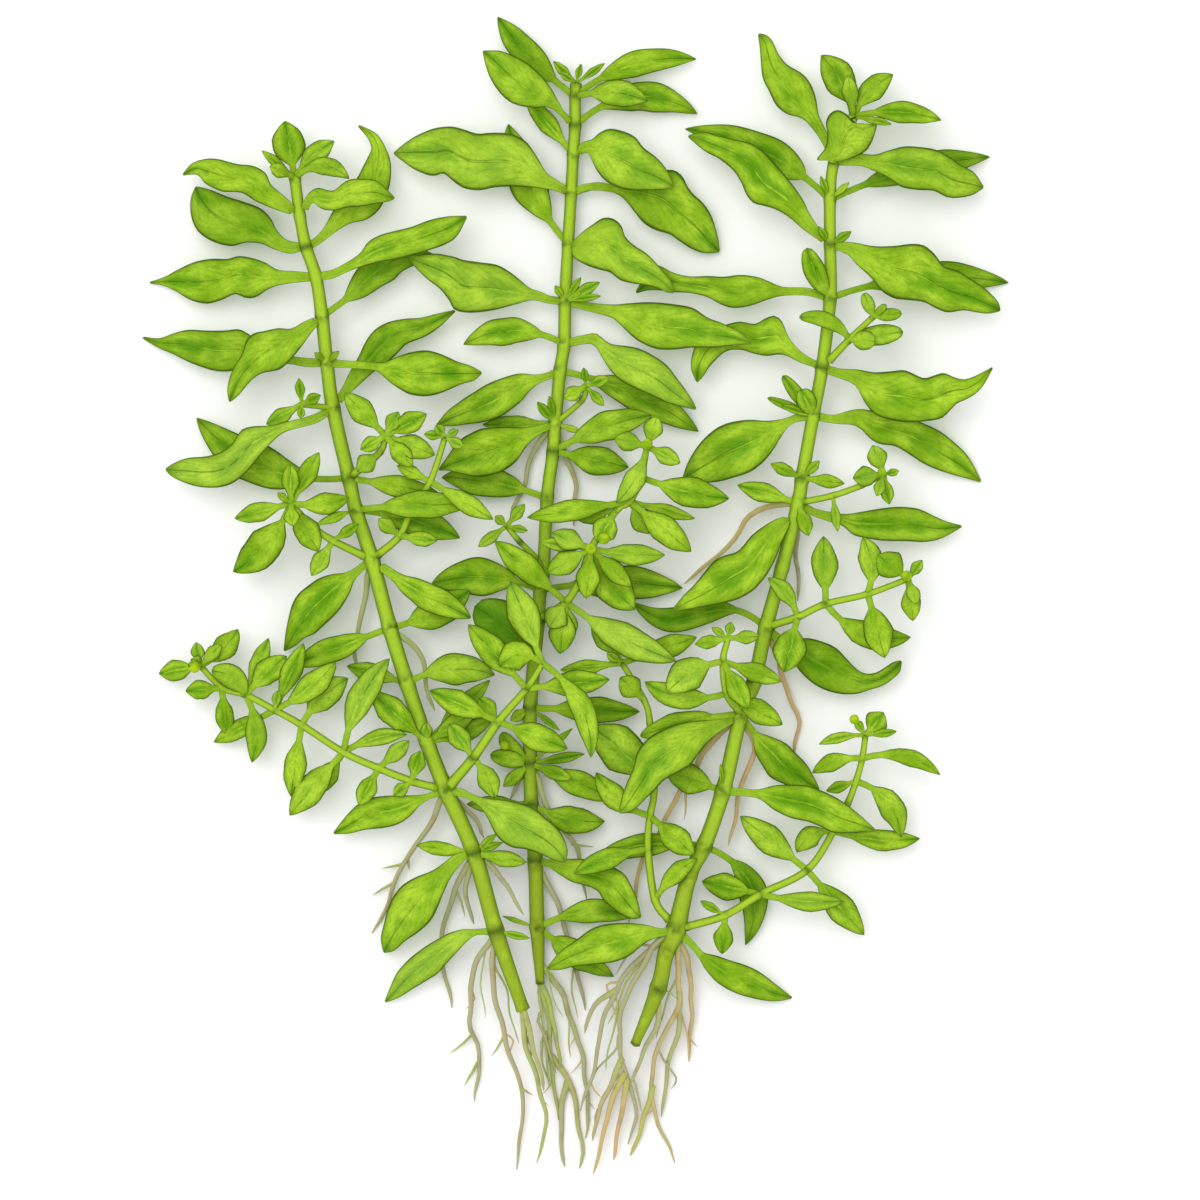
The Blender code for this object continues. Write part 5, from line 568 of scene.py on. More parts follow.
rightRoots = (
    ((39.6, 19.4, 8.5), (33.4, 18.6, 6), (29, 15.8, 4.5), (25.6, 10.6, 3.5), (16.6, 3.2, 2)),
    ((39.6, 19.4, 8.5), (39.6, 12, 5.5), (39.4, 7.6, 4), (39.8, -0.2, 3)),
    ((33.2, -5.4, 8.5), (36.6, -14.8, 4), (38.2, -19.8, 2.5), (39.8, -24.6, 1.5), (39, -31.8, 0.8)),
    (
        (28.2, -22.8, 8.5), (22.2, -28.8, 6.5), (18.2, -34.8, 5.5), (11.2, -47.6, 4), (8, -54, 3),
        (6, -65, 2),
    ),
    ((28.2, -22.8, 8.5), (30.8, -30.4, 6), (28, -38.4, 5), (26, -49.2, 4.5)),
    (
        (15.2, -66, 8), (6, -73.8, 7), (2.4, -79.8, 6.5), (0.4, -85.6, 6), (-1.2, -93.6, 5),
        (-3.8, -102.6, 3.5),
    ),
    ((3.4, -78, 6.6), (-1.2, -81.2, 6), (-2.8, -86.8, 5.5)),
    (
        (15.2, -66, 8), (10.6, -69.4, 8), (6, -78.2, 7), (4, -83.6, 6), (4, -89.6, 5),
        (6.8, -100.6, 3), (6.8, -106.2, 2), (5.8, -109.4, 1.2),
    ),
    ((4.4, -92, 4.6), (0.8, -100.2, 3.8), (-1.8, -108.6, 3)),
    ((5, -95, 4.2), (1.6, -103, 3.6), (-1.2, -115.2, 3)),
    ((5.4, -96.2, 4), (3.8, -106.6, 3), (2.4, -112.6, 2)),
    ((11.8, -77, 7.5), (11.4, -84.4, 6.5), (8.8, -90.8, 5), (5.8, -97.4, 4)),
    (
        (15.2, -66, 7.5), (15.8, -79.8, 5.5), (12.2, -88.8, 4), (10.2, -95.6, 3),
        (11.8, -105.4, 1.8), (15.2, -113.2, 0.6),
    ),
    ((10.6, -97.6, 2.8), (8.8, -104.6, 2), (6, -111.8, 1)),
    ((15.2, -66, 7.5), (18.2, -75.8, 5), (18.2, -84.4, 2.5), (18, -92.8, 1)),
    ((15.9, -78.6, 5.7), (16, -86, 4), (13.4, -94, 2.5), (12.6, -103.8, 1.2)),
)
rightRootlets = (
    ((17.8, -35.4, 5.4), (16.6, -44.2, 4.5)),
)

stems = {
    "stem_left": (leftNodes, leftLeaves, leftSmall, leftRoots, leftRootlets),
    "stem_middle": (middleNodes, middleLeaves, middleSmall, middleRoots, middleRootlets),
    "stem_right": (rightNodes, rightLeaves, rightSmall, rightRoots, rightRootlets),
}

# side shoots: the stem and node they grow from, the points of their axis after its start on the
# stem, then their leaves, which are like small leaves but begin with their point, from 0 up
shoots = {
    "shoot_left_7": (
        "stem_left", 7,
        ((-43.8, 29.4, 15), (-42.6, 32.6, 17)),
        (1, -4.6, -3.8, 4, 0, 15.5, 13.5), (2, -8.2, 8.6, 4.8, 0, 18, 16),
        (2, 2.6, 4.8, 3.2, 0, 18.5, 18), (2, 8.2, 4.4, 4.4, 0, 18.5, 17.5),
        (2, 9.8, -3.8, 4.8, 0, 17.5, 16), (2, 5.4, -6.2, 4, 0, 18, 17),
        (2, -5, -2.8, 3.2, 0, 18, 17.5),
    ),
    "shoot_left_9_l": (
        "stem_left", 9,
        ((-53.2, 11.8, 12), (-57.2, 14.6, 14), (-61.4, 19.2, 16.5)),
        (1, 5.2, 3.4, 2.4, 0, 13.5, 14), (1, -4.4, -7, 3.6, 0, 12.5, 11.5),
        (2, 7.4, 3, 2, 0, 15.5, 16), (3, 0, 7.8, 3.6, 0, 19, 20), (3, 5.6, 10.2, 4, 0, 17.5, 17),
        (3, 11.6, 1.2, 4.4, -0.8, 17, 16), (3, -11.4, -3, 4, 0, 16, 14),
        (3, -12, -13.6, 7.2, 1.6, 13.5, 9), (3, 0.4, -4.6, 3.2, 0, 18.5, 19),
        (3, 5.4, -9.6, 5.2, 0, 15, 14), (3, -2.6, 2, 1.6, 0, 18, 19),
    ),
    "shoot_left_9_r": (
        "stem_left", 9,
        ((-40, 12.8, 10.5), (-37.6, 18, 11.8), (-33.8, 23.6, 14.5), (-30.8, 32.4, 15.5)),
        (1, -4.2, 3.4, 3.2, 0, 12, 12.5), (1, 7.6, -1, 3.2, 0, 13.5, 14),
        (3, -6.6, 3.2, 2.8, 0, 15.5, 15), (3, 12.6, -7.6, 4, 0, 16, 15),
        (4, -1.8, 2.4, 2.4, 0, 16.5, 17), (4, 3.6, -2, 2.4, 0, 16.5, 17),
        (4, -4.2, 0.6, 2, 0, 16.5, 17), (4, 2.6, 1.4, 1.6, 0, 16.5, 17.5),
    ),
    "branch_left": (
        "stem_left", 13,
        (
            (-37.6, -36.2, 10), (-44.2, -33.6, 10.5), (-51.2, -30.4, 10.5), (-59.6, -25, 9.5),
            (-65, -22, 9), (-70.8, -19, 8), (-75.6, -17.6, 7.5), (-80, -13.2, 7),
        ),
        (1, 1.8, 6.2, 3.6, 0, 11.5, 12.5), (1, -3.6, -2.8, 2.8, 0, 11, 11),
        (2, 6.2, 5.6, 3.4, 0, 11.5, 12), (2, -4, -7.4, 4, 0, 11.5, 11),
        (3, 12.8, 3.6, 3.4, 1, 11.5, 12), (3, -6, -8.6, 4.4, 0, 8, 6),
        (3, 9.4, 18.8, 5.6, 1.6, 15, 15), (3, -11, -12.8, 5.8, -0.2, 10, 6),
        (4, 9.4, 9.4, 5.8, 1, 10.5, 11), (4, -2.2, -14.4, 4.6, 0, 11, 8),
        (5, 12.4, 9.6, 5.2, -0.8, 12, 12.5), (5, 5.8, 13.4, 4.2, 0, 9, 8),
        (5, 0.8, 4, 2, 0, 11, 12), (5, -12.6, -6.6, 4, 0, 6, 3), (6, 8.2, 7.8, 5.2, 0.4, 8.5, 8),
        (6, 1, -13.6, 4.4, 1.5, 8, 6), (6, 4.4, 11.4, 3.6, 0, 7, 5), (7, 0.8, -9.6, 3.8, 0, 7, 4),
        (7, -7.4, -0.6, 4, 0, 8, 7), (6, -6.8, 4.8, 4.8, -1.4, 10, 10.5),
        (8, -8.6, -1.6, 4.4, 0, 6, 3), (8, -0.8, 4.8, 2.8, 0, 8, 8), (8, 4.4, 4.4, 2.8, 0, 9, 9.5),
        (8, 7.6, 7.4, 4.8, -0.8, 8, 7.5), (8, -1.6, 1.4, 3.2, 0, 9.5, 11),
    ),
    "shoot_left_13": (
        "stem_left", 13,
        ((-25.2, -31.4, 13), (-20.2, -24.2, 14.5), (-14.6, -17.6, 16), (-11.4, -12.6, 17)),
        (1, -4.8, 6.8, 4.4, 0, 14, 14.5), (1, 4.2, -8.2, 4.4, 0.6, 13, 12.5),
        (2, -13.8, 6.2, 5.2, 0, 14, 14), (2, 13.8, -5.4, 5.6, 0, 16.5, 17),
        (2, -4, 4.8, 3.8, 0, 13, 12.5), (3, -11.6, 12.8, 5.6, 0, 18.5, 18),
        (3, 16.6, 1.8, 5.2, 0, 16, 15), (4, 9.6, -18.8, 4.8, 3, 19.5, 18),
        (4, -8.6, -0.6, 6.2, -2, 18.5, 19.5), (4, -13.6, 11.4, 9.6, -0.8, 16, 15),
        (4, -6.4, 16.4, 6.4, 0, 18.5, 17.5),
    ),
    "branch_middle": (
        "stem_middle", 14,
        (
            (-6.8, -0.4, 10), (-4, 4, 12), (-1.8, 10.2, 13.5), (3.2, 17.8, 13.5), (6, 19.6, 13.5),
            (8.2, 24.4, 13.5), (9.4, 30.6, 13.5),
        ),
        (1, -14.2, 12.2, 5.4, 0, 13, 14), (1, 22, -11.8, 6.4, -1, 13.5, 15),
        (1, -3.4, -5.2, 5.2, 0, 11.5, 12), (1, -1.2, -10.4, 5.4, 0, 11, 11.5),
        (1, 1, -7.4, 3.6, 0, 10, 9.5), (3, -7.8, 3.2, 4.4, 0, 15, 15),
        (3, -10.4, 1.4, 2.8, 0, 14, 14), (3, 14.8, -1.2, 4.4, -0.5, 14.5, 14),
        (3, -8.8, -4.8, 4.8, 0, 14.5, 14), (3, 8, -7.6, 4, 0, 14, 13.5),
        (3, -1, -10, 4.8, 0, 15, 15.5), (3, 8.8, -12.2, 7.4, -0.8, 12, 11),
        (4, -3.8, -6.4, 5.2, 0, 15.5, 16), (4, -8.6, -1, 4.4, 0, 13, 12),
        (5, -20.6, -3.2, 4.4, 0, 15, 14), (5, 12.2, -10, 5.6, 0, 14.5, 14),
        (5, 13, -3.4, 2.8, 0, 12.5, 12), (5, 4, -6.4, 4.8, 0, 12.5, 12),
        (6, 17.6, -4.2, 6.2, -0.6, 13.5, 12), (7, -6.2, -11.4, 4.4, 1, 16.5, 16),
        (7, 2, 6, 4, 0, 14, 14), (7, 6.6, -3.4, 3.6, 0, 15, 15), (7, -6.6, 1.6, 4, 0, 14, 14),
    ),
    "shoot_right_5": (
        "stem_right", 5,
        ((49.8, 52, 12.5), (54.4, 56.4, 15)),
        (1, 10.6, 1.4, 4.2, 0, 14, 14), (1, 5, -0.6, 4, 0, 15, 16),
        (1, -10.2, 4.2, 3.2, -1.6, 14.5, 15), (2, -2, 4.6, 2.6, 0, 16, 17),
        (2, 5.6, 0.6, 2.6, 0, 16, 16.5), (2, 2.4, 2.2, 1.6, 0, 16, 17.5),
    ),
    "shoot_right_8": (
        "stem_right", 8,
        ((46.4, 20.8, 12.5), (52, 22.8, 14), (56.4, 25, 15)),
        (1, 1, -7.2, 2, 0, 13, 12.5), (3, -2.2, 5.8, 4, 0, 16, 16),
        (3, -6.2, -0.8, 4.2, 0, 16.5, 17), (3, -1.4, -4.4, 2.4, 0, 16.5, 17),
        (3, 1.2, -6, 2.8, 0, 15, 14.5), (3, 3, 0.6, 1.6, 0, 16, 17),
    ),
    "branch_right": (
        "stem_right", 10,
        ((39.4, -3.4, 12), (45, -0.8, 12), (53.4, 1.2, 12), (61.4, 4.2, 12.5)),
        (1, -6, 7.8, 3.6, -1, 14, 14), (1, -2.8, -11, 6.8, 0, 14.5, 15),
        (2, -0.4, 13.6, 5.4, 0, 12.5, 11), (2, 17.2, -6.6, 5.6, -2.7, 10, 8.5),
        (3, -1, 11.4, 5, -1.2, 12.5, 12), (3, 3.4, -12.8, 6, 0, 12.5, 12),
        (4, -6.2, 4.8, 5.8, 0, 13.5, 13.5), (4, 2.8, 3.8, 2.4, 0, 13.5, 14),
        (4, 1, -8.4, 4, 0, 13, 12.5), (4, 1.6, -5, 2.8, 0, 14.5, 15.5),
    ),
    "shoot_right_12": (
        "stem_right", 12,
        ((25.2, -18.6, 16), (24.4, -12.2, 18), (25.4, -7.6, 18.5)),
        (1, -16.4, 2.4, 5.2, 2, 17, 17), (1, 11.2, -6.2, 4.8, 0, 16, 15),
        (2, -11.2, -6.2, 6.8, -1.2, 19.5, 20), (2, 5, -9.4, 4.4, 0, 19.5, 20),
        (2, 11.8, -4, 4, 0, 18, 17), (3, -6.6, -1.2, 2.8, 0, 19.5, 19.5),
        (3, 6.2, 0.4, 2.8, 0, 19.5, 19.5), (3, 0.6, 3.2, 2, 0, 19.5, 20.5),
        (3, -3.2, 2.2, 1.6, 0, 19.5, 20.5),
    ),
    "shoot_slender": (
        "stem_right", 16,
        (
            (11, -60, 8), (9.6, -49.8, 8), (10, -43.2, 8.5), (10.8, -38, 8.5), (10, -24.8, 8.5),
            (8.8, -20, 8.5), (4.4, -12.6, 8.5),
        ),
        (1, 8.4, 8.4, 3.8, 0.9, 11, 12), (2, -14.8, -4.8, 4.4, -0.8, 11.5, 12),
        (3, 8.8, -7.6, 5.4, 0, 12, 13), (3, -10.8, 8.8, 4.8, 1.5, 9.5, 9.5),
        (4, -12.6, 12.8, 9, -1, 10.5, 10), (6, -4.8, 4.6, 4.8, 0, 9.5, 10),
        (7, -5.8, 9, 4.8, 0, 9, 8.5), (7, 15, 5.2, 4.8, 0, 9, 9), (7, -12.4, -1.4, 3, 0, 9.5, 9.5),
        (7, -3, 2, 2, 0, 10, 11),
    ),
    "branch_right_lower": (
        "stem_right", 16,
        (
            (25, -63, 9.5), (32, -58.8, 9.5), (41.4, -54, 8.5), (46.8, -46.2, 7), (49.6, -40.6, 8),
            (51.2, -36.2, 9), (52.4, -31.6, 10), (53, -27, 10.5),
        ),
        (1, -5, 3, 1.8, 0, 11, 12), (1, -0.6, -7.8, 4, 0, 9.5, 9),
        (2, 16.8, -1.4, 4, -0.6, 10.5, 10), (2, -11.6, 2.4, 5.4, 0, 6.5, 5),
        (3, -13.4, 10.8, 5.6, 0, 8.5, 8), (3, 11.6, -13.2, 5.6, 0, 8, 5),
        (4, 17.4, -1.6, 4.4, -1, 6.5, 5), (4, -7.4, -4.4, 4.4, -1.4, 6.5, 6),
        (6, -6, -2, 2.4, 0, 9.5, 9), (6, 9, -11.4, 5.2, 2.4, 9.5, 7.5),
        (7, -10, -3, 3.6, -1, 11, 10), (7, 15.6, -3.4, 3.4, 2.2, 11.5, 10),
        (8, 3.6, 4.6, 4.8, 0, 11.5, 11), (8, -2.2, 3.2, 1.8, 0, 12, 12.5),
        (8, -9.4, -1.8, 2.2, -0.6, 12.5, 12.5), (8, 6.2, 0.8, 1.8, 0, 12, 12.5),
    ),
}

# very small shoots that are one with their stem: the stem, the whole axis, the leaves at its end
tinyShoots = (
    (
        "stem_left",
        ((-53.4, 38.4, 8.5), (-59.4, 39, 12.5)),
        (-0.6, 5.2, 2, 0, 13.5, 14), (3.8, 1.8, 2.4, 0, 14, 14.5), (-7.2, -4, 3.2, 0, 12.5, 12),
        (-0.2, -2.8, 1.6, 0, 13.5, 14.5),
    ),
    (
        "stem_middle",
        ((-9, 35.4, 4), (-3.6, 40, 6.5), (-2.8, 42.8, 8)),
        (-0.4, 3.6, 1.6, 0, 9, 10), (4.6, 1.6, 2.4, 0, 9, 9.5), (3.6, -4, 2, 0, 8.5, 8.5),
        (-4.4, -2.6, 3.2, 0, 9, 9.5),
    ),
    (
        "stem_middle",
        ((-11.4, 5.4, 4), (-12.8, 8.4, 7), (-16, 11.6, 8.5), (-18.6, 14.8, 9)),
        (3.6, 4.4, 2.4, 0, 10, 10.5), (-2.4, 2, 2, 0, 10, 10.5), (-5.8, -4.2, 2.4, 0, 9, 8.5),
        (4.2, -1, 1.6, 0, 10, 10.5),
    ),
)

# fine roots and fresh green strands among the roots: tint, radius at the start, then the path
rootTints = {
    "grey": (0.1, 0.0),
    "green": (0.3, 0.75),
    "tan": (0.9, 0.0),
    "fresh": (0.2, 1.0),
}
fineRoots = {
    "stem_left": (
        ("green", 0.3, ((-21, -73, 6.6), (-19, -78, 6), (-18, -83, 5.4), (-16, -89, 5))),
        ("green", 0.32, ((-15.6, -82, 7), (-14.4, -88, 6.6), (-13.8, -92.4, 6))),
        ("green", 0.25, ((-22.8, -70, 6.5), (-23.8, -77, 5.5), (-23.2, -84, 4.5))),
        ("tan", 0.25, ((-17.2, -88.4, 4.6), (-18, -91.2, 3.8))),
        ("tan", 0.22, ((-11.8, -100, 5.8), (-10.4, -101.6, 5.4))),
        ("tan", 0.22, ((-25.2, -80, 3.6), (-27.4, -82.4, 3))),
    ),
    "stem_middle": (
        ("fresh", 0.22, ((-10.4, -75, 4.2), (-9.4, -80, 3.8), (-7.6, -83.8, 3.4))),
        ("fresh", 0.2, ((-9.6, -75, 4.4), (-8, -78, 4))),
        ("grey", 0.4, ((-12.6, -84.6, 4), (-10.4, -89.4, 3), (-8.8, -95, 2.2))),
        ("green", 0.4, ((-12, -76, 3.4), (-11.6, -84, 3), (-10.8, -92, 2.4), (-9.2, -99, 1.8))),
        ("green", 0.35, ((-11.8, -89, 2.2), (-10.4, -98, 1.6))),
        ("green", 0.3, ((-7.2, -80, 3), (-6.2, -86, 2.6), (-5.8, -92, 2.2))),
        ("green", 0.3, ((-5.8, -76, 2.8), (-4.4, -84, 2.2))),
        ("tan", 0.25, ((-3.6, -92, 1.6), (-6, -95.2, 1.8))),
        ("tan", 0.25, ((-5, -88, 2.2), (-6, -89.8, 2.4))),
        ("tan", 0.22, ((-9.8, -97, 1.4), (-11.8, -99.6, 1))),
        ("tan", 0.22, ((-2.8, -100, 1), (-0.8, -102.4, 0.8))),
    ),
    "stem_right": (
        ("green", 0.3, ((10, -70, 6.8), (8, -73.6, 6.4), (6, -77, 6))),
        ("green", 0.3, ((3.6, -81, 6), (2, -90, 4.6), (1, -94.4, 4))),
        ("green", 0.3, ((15.2, -76, 6), (13, -82, 5), (11, -88, 4))),
        ("fresh", 0.22, ((12.4, -77.4, 6.6), (15.8, -80, 6))),
        ("grey", 0.35, ((7.4, -69, 7), (5, -72, 6.4), (3.4, -75, 6))),
        ("grey", 0.35, ((3.4, -89.6, 5), (1.4, -92, 4.4), (-0.6, -94, 3.8), (-2, -97.2, 3))),
        ("grey", 0.35, ((6.4, -96, 4), (8, -100, 3.4), (8.4, -102.8, 3))),
        ("grey", 0.35, ((11.6, -89, 4.2), (12.8, -92, 3.8), (15, -96, 3), (14.2, -98.2, 2.4))),
        ("grey", 0.35, ((4.4, -94.4, 4.4), (2.4, -97, 3.8), (0.2, -101, 3), (-1, -105, 2.4))),
        ("tan", 0.25, ((-1.2, -98.4, 4), (0.4, -100.2, 4.2))),
        ("tan", 0.22, ((18, -88, 1.8), (19.6, -90, 1.4))),
        ("tan", 0.22, ((11, -102, 2.2), (9, -103.8, 2))),
        ("tan", 0.3, ((16.2, -80, 5.4), (17, -86, 4), (18, -92.2, 2.6))),
        ("fresh", 0.35, ((10, -70.4, 7.4), (5.4, -76.6, 6.6), (1.6, -85, 5.4))),
        ("tan", 0.32, ((1, -77.2, 6.6), (2.8, -81.4, 6), (3.8, -84.6, 5.6))),
    ),
}

class Shade:
    # one output of a material's nodes, so that masks can be added and multiplied
    def __init__(self, tree, socket=None):
        self.tree = tree
        self.socket = socket

    def node(self, kind, sockets=(), output=0, **settings):
        fresh = self.tree.nodes.new("ShaderNode" + kind)
        for key, value in settings.items():
            setattr(fresh, key, value)
        for key, value in dict(sockets).items():
            if isinstance(value, Shade):
                self.tree.links.new(value.socket, fresh.inputs[key])
            else:
                fresh.inputs[key].default_value = value
        return Shade(self.tree, fresh.outputs[output])

    def maths(self, operation, first, second=0.0):
        return self.node("Math", {0: first, 1: second}, operation=operation)

    def __add__(self, other):
        return self.maths("ADD", self, other)

    def __sub__(self, other):
        return self.maths("SUBTRACT", self, other)

    def __rsub__(self, other):
        return self.maths("SUBTRACT", other, self)

    def __mul__(self, other):
        return self.maths("MULTIPLY", self, other)

    def size(self):
        return self.maths("ABSOLUTE", self)

    def rise(self, low, high):
        # 0 below low, 1 above high, smooth between
        return self.node("MapRange", {0: self, 1: low, 2: high}, interpolation_type="SMOOTHSTEP")

    def over(self, under, paint):
        # this mask lays the paint over what is under it
        return self.node("Mix", {0: self, 6: under, 7: paint}, 2, data_type="RGBA")


def colour(code):
    # a linear colour from its six-digit screen code
    values = [int(code[place : place + 2], 16) / 255 for place in (0, 2, 4)]
    linear = [v / 12.92 if v <= 0.04045 else ((v + 0.055) / 1.055) ** 2.4 for v in values]
    return (*linear, 1.0)


def newMaterial(name, look):
    material = bpy.data.materials.new(name)
    material.use_nodes = True
    shader = material.node_tree.nodes["Principled BSDF"]
    shader.inputs["Roughness"].default_value = look["roughness"]
    shader.inputs["Specular IOR Level"].default_value = look["gloss"]
    return material, shader, Shade(material.node_tree)


def plantInputs(tree):
    # how far across and along its piece a place is, where it is, and the piece's own two values
    across = tree.node("SeparateXYZ", {0: tree.node("UVMap", uv_map="leafMap")})
    along = Shade(tree.tree, across.socket.node.outputs[1])
    place = tree.node("TexCoord", output=3)
    tone, seed = [tree.node("Attribute", (), 2, attribute_name=name) for name in ("tone", "seed")]
    return across, along, place, tone, seed


def noise(tree, place, scale, detail, roughness=0.5):
    sockets = {"Vector": place, "Scale": scale, "Detail": detail, "Roughness": roughness}
    return tree.node("TexNoise", sockets)


def finish(tree, shader, look, first, layers, height):
    # the first paint with the others laid over it to Base Color, and a height to the bump
    paint = colour(look[first])
    for mask, name in layers:
        paint = mask.over(paint, colour(look[name]))
    tree.tree.links.new(paint.socket, shader.inputs["Base Color"])
    bump = tree.node("Bump", {"Strength": 0.6, "Distance": 0.2 * mm, "Height": height})
    tree.tree.links.new(bump.socket, shader.inputs["Normal"])


leafPaint = {
    "mid": "85AF1C",
    "lime": "A8CD32",
    # painted light on leaves that stand high
    "paintedLight": "B8D756",
    # painted shade in blotches along the hollow of the midrib
    "hollowShade": "4A8A06",
    # random dabs of darker green, and painted shade along the blade's edges
    "dabAndEdgeShade": "587E0C",
    # painted shade on leaves that stand low and behind
    "shadeAndDarkTone": "306C02",
    "outline": "304C04",
    "midrib": "3E5E06",
    "stalk": "8AB028",
    "tip": "305A0C",
    "roughness": 0.6,
    "gloss": 0.05,
}


def leafMaterial(name, look):
    material, shader, tree = newMaterial(name, look)
    across, along, place, tone, seed = plantInputs(tree)
    side = (across - 0.5).size()
    patch = noise(tree, place, 190.0, 3.0)
    pool = noise(tree, place, 110.0, 2.0)
    grain = noise(tree, place, 1500.0, 2.0)
    streakPlace = {0: across * 6.0 + seed * 31.0, 1: along * 7.0, 2: seed * 57.0}
    streak = noise(tree, tree.node("CombineXYZ", streakPlace), 1.6, 4.0, 0.6)
    blade = along.rise(0.17, 0.26)
    rib = (1.0 - side.rise(0.01, 0.035)) * along.rise(0.1, 0.3)
    hollow = (1.0 - side.rise(0.06, 0.34)) * along.rise(0.2, 0.4)
    vein = tree.maths("SINE", (along * 11.0 - side * 7.0) * math.tau).rise(0.82, 1.0) * blade
    layers = (
        (patch.rise(0.36, 0.66), "lime"),
        (streak.rise(0.48, 0.7) * 0.4, "dabAndEdgeShade"),
        # painted shade: darker blotches in the hollow along the midrib
        (hollow * pool.rise(0.42, 0.6) * 0.75, "hollowShade"),
        # painted light and shade from the leaf's tone: leaves that stand low and behind are painted
        # darker, those that stand high are painted paler, with some tone at random
        ((1.0 - tone.rise(0.0, 0.5)) * 0.65, "shadeAndDarkTone"),
        (tone.rise(0.5, 1.0) * 0.5, "paintedLight"),
        (vein * 0.1, "outline"),
        ((1.0 - blade) * 0.7, "stalk"),
        # painted shade: the blade darkens towards its edges
        (side.rise(0.24, 0.49) * blade * 0.5, "dabAndEdgeShade"),
        (rib * 0.6, "midrib"),
        (grain.rise(0.45, 0.62) * 0.12, "outline"),
        (side.rise(0.43, 0.485) * 0.8, "outline"),
        (along.rise(0.88, 1.0) * 0.6, "tip"),
    )
    finish(tree, shader, look, "mid", layers, grain * 0.3 - vein * 0.4 - rib * 0.8)
    return material


stemPaint = {
    "top": "A0C22C",
    # painted shade down the stem's sides
    "shadedFlank": "7C9C1C",
    # painted shade, darkest along the stem's sides and underside
    "edge": "4A660C",
    "node": "34500A",
    "old": "86981F",
    "streak": "90B228",
    "roughness": 0.5,
    "gloss": 0.1,
}


def stemMaterial(name, look):
    # on a stem, tone says how near its node is and seed how old it is
    material, shader, tree = newMaterial(name, look)
    around, along, place, node, age = plantInputs(tree)
    streakPlace = tree.node("CombineXYZ", {0: around * 9.0, 1: along * 8.0})
    streak = noise(tree, streakPlace, 2.0, 3.0)
    patch = noise(tree, place, 300.0, 3.0)
    layers = (
        (streak.rise(0.45, 0.65) * 0.7, "streak"),
        (age * patch.rise(0.2, 0.5), "old"),
        # painted shade darkens the stem from its top down its sides
        (around.rise(0.12, 0.32), "shadedFlank"),
        (node * patch.rise(0.42, 0.6) * 0.85, "node"),
        # painted shade, darkest along the stem's sides
        (around.rise(0.31, 0.45) * 0.9, "edge"),
    )
    finish(tree, shader, look, "top", layers, streak * 0.6 + patch * 0.4)
    return material


rootPaint = {
    "grey": "A8A67E",
    "tan": "C6A878",
    "green": "A4B854",
    # painted shade on the root's sides and underside, and darker patches at random
    "shadeAndDarkTone": "84845A",
    "roughness": 0.65,
    "gloss": 0.1,
}


def rootMaterial(name, look):
    # on a root, tone says how tan it is and seed how fresh and green
    material, shader, tree = newMaterial(name, look)
    around, _, place, tone, fresh = plantInputs(tree)
    patch = noise(tree, place, 260.0, 4.0)
    layers = (
        ((tone + patch * 0.6 - 0.3).rise(0.3, 0.7), "tan"),
        (fresh * 0.8, "green"),
        # painted shade on the root's sides and underside
        (around.rise(0.3, 0.6) * 0.5, "shadeAndDarkTone"),
        (patch.rise(0.52, 0.7) * 0.4, "shadeAndDarkTone"),
    )
    finish(tree, shader, look, "grey", layers, patch)
    return material


budPaint = {"yellow": "A8C21A", "green": "7CA818", "roughness": 0.6, "gloss": 0.05}


def budMaterial(name, look):
    material, shader, tree = newMaterial(name, look)
    patch = noise(tree, tree.node("TexCoord", output=3), 700.0, 2.0)
    finish(tree, shader, look, "yellow", ((patch.rise(0.4, 0.65), "green"),), patch)
    return material


leafGreen = leafMaterial("leafGreen", leafPaint)
stemGreen = stemMaterial("stemGreen", stemPaint)
rootTan = rootMaterial("rootTan", rootPaint)
budYellow = budMaterial("budYellow", budPaint)
print("materials made")

# vertices of a new piece that are nearer than this are one, in metres
weld = 0.000002
# a stalk that leaves its stem at a flatter slant than this sine is treated as if it had it
leastSine = 0.35


def toPart(point):
    return (point - origin) * mm


def newMesh():
    mesh = bmesh.new()
    for name in ("across", "along", "tone", "seed"):
        mesh.verts.layers.float.new(name)
    return mesh


def mark(mesh, vert, **values):
    for name, value in values.items():
        vert[mesh.verts.layers.float[name]] = value


def finishPiece(name, mesh, material, nodes=()):
    across = mesh.verts.layers.float["across"]
    along = mesh.verts.layers.float["along"]
    leafMap = mesh.loops.layers.uv.new("leafMap")
    for face in mesh.faces:
        face.smooth = True
        for loop in face.loops:
            loop[leafMap].uv = (loop.vert[across], loop.vert[along])
    data = bpy.data.meshes.new(name)
    mesh.to_mesh(data)
    mesh.free()
    data.materials.append(material)
    piece = bpy.data.objects.new(name, data)
    bpy.context.scene.collection.objects.link(piece)
    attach(piece, "root")
    if nodes:
        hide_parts(*nodes)


def smoothPath(points, spacing):
    # points about this far apart on a curve through the given ones, each with its place in the list
    points = [Vector(point) for point in points]
    padded = [2 * points[0] - points[1]] + points + [2 * points[-1] - points[-2]]
    path = []
    for number in range(len(points) - 1):
        before, first, second, after = padded[number : number + 4]
        steps = max(1, round((second - first).length / spacing))
        for step in range(steps):
            t = step / steps
            bend = (second - before) * t + (2 * before - 5 * first + 4 * second - after) * t * t
            bend += (3 * first - before - 3 * second + after) * t**3
            path.append((first + bend / 2, number + t))
    path.append((points[-1], len(points) - 1))
    return path


def facesOf(verts):
    # each face once, in the order of its vertices
    return list(dict.fromkeys(f for vert in verts if vert.is_valid for f in vert.link_faces))


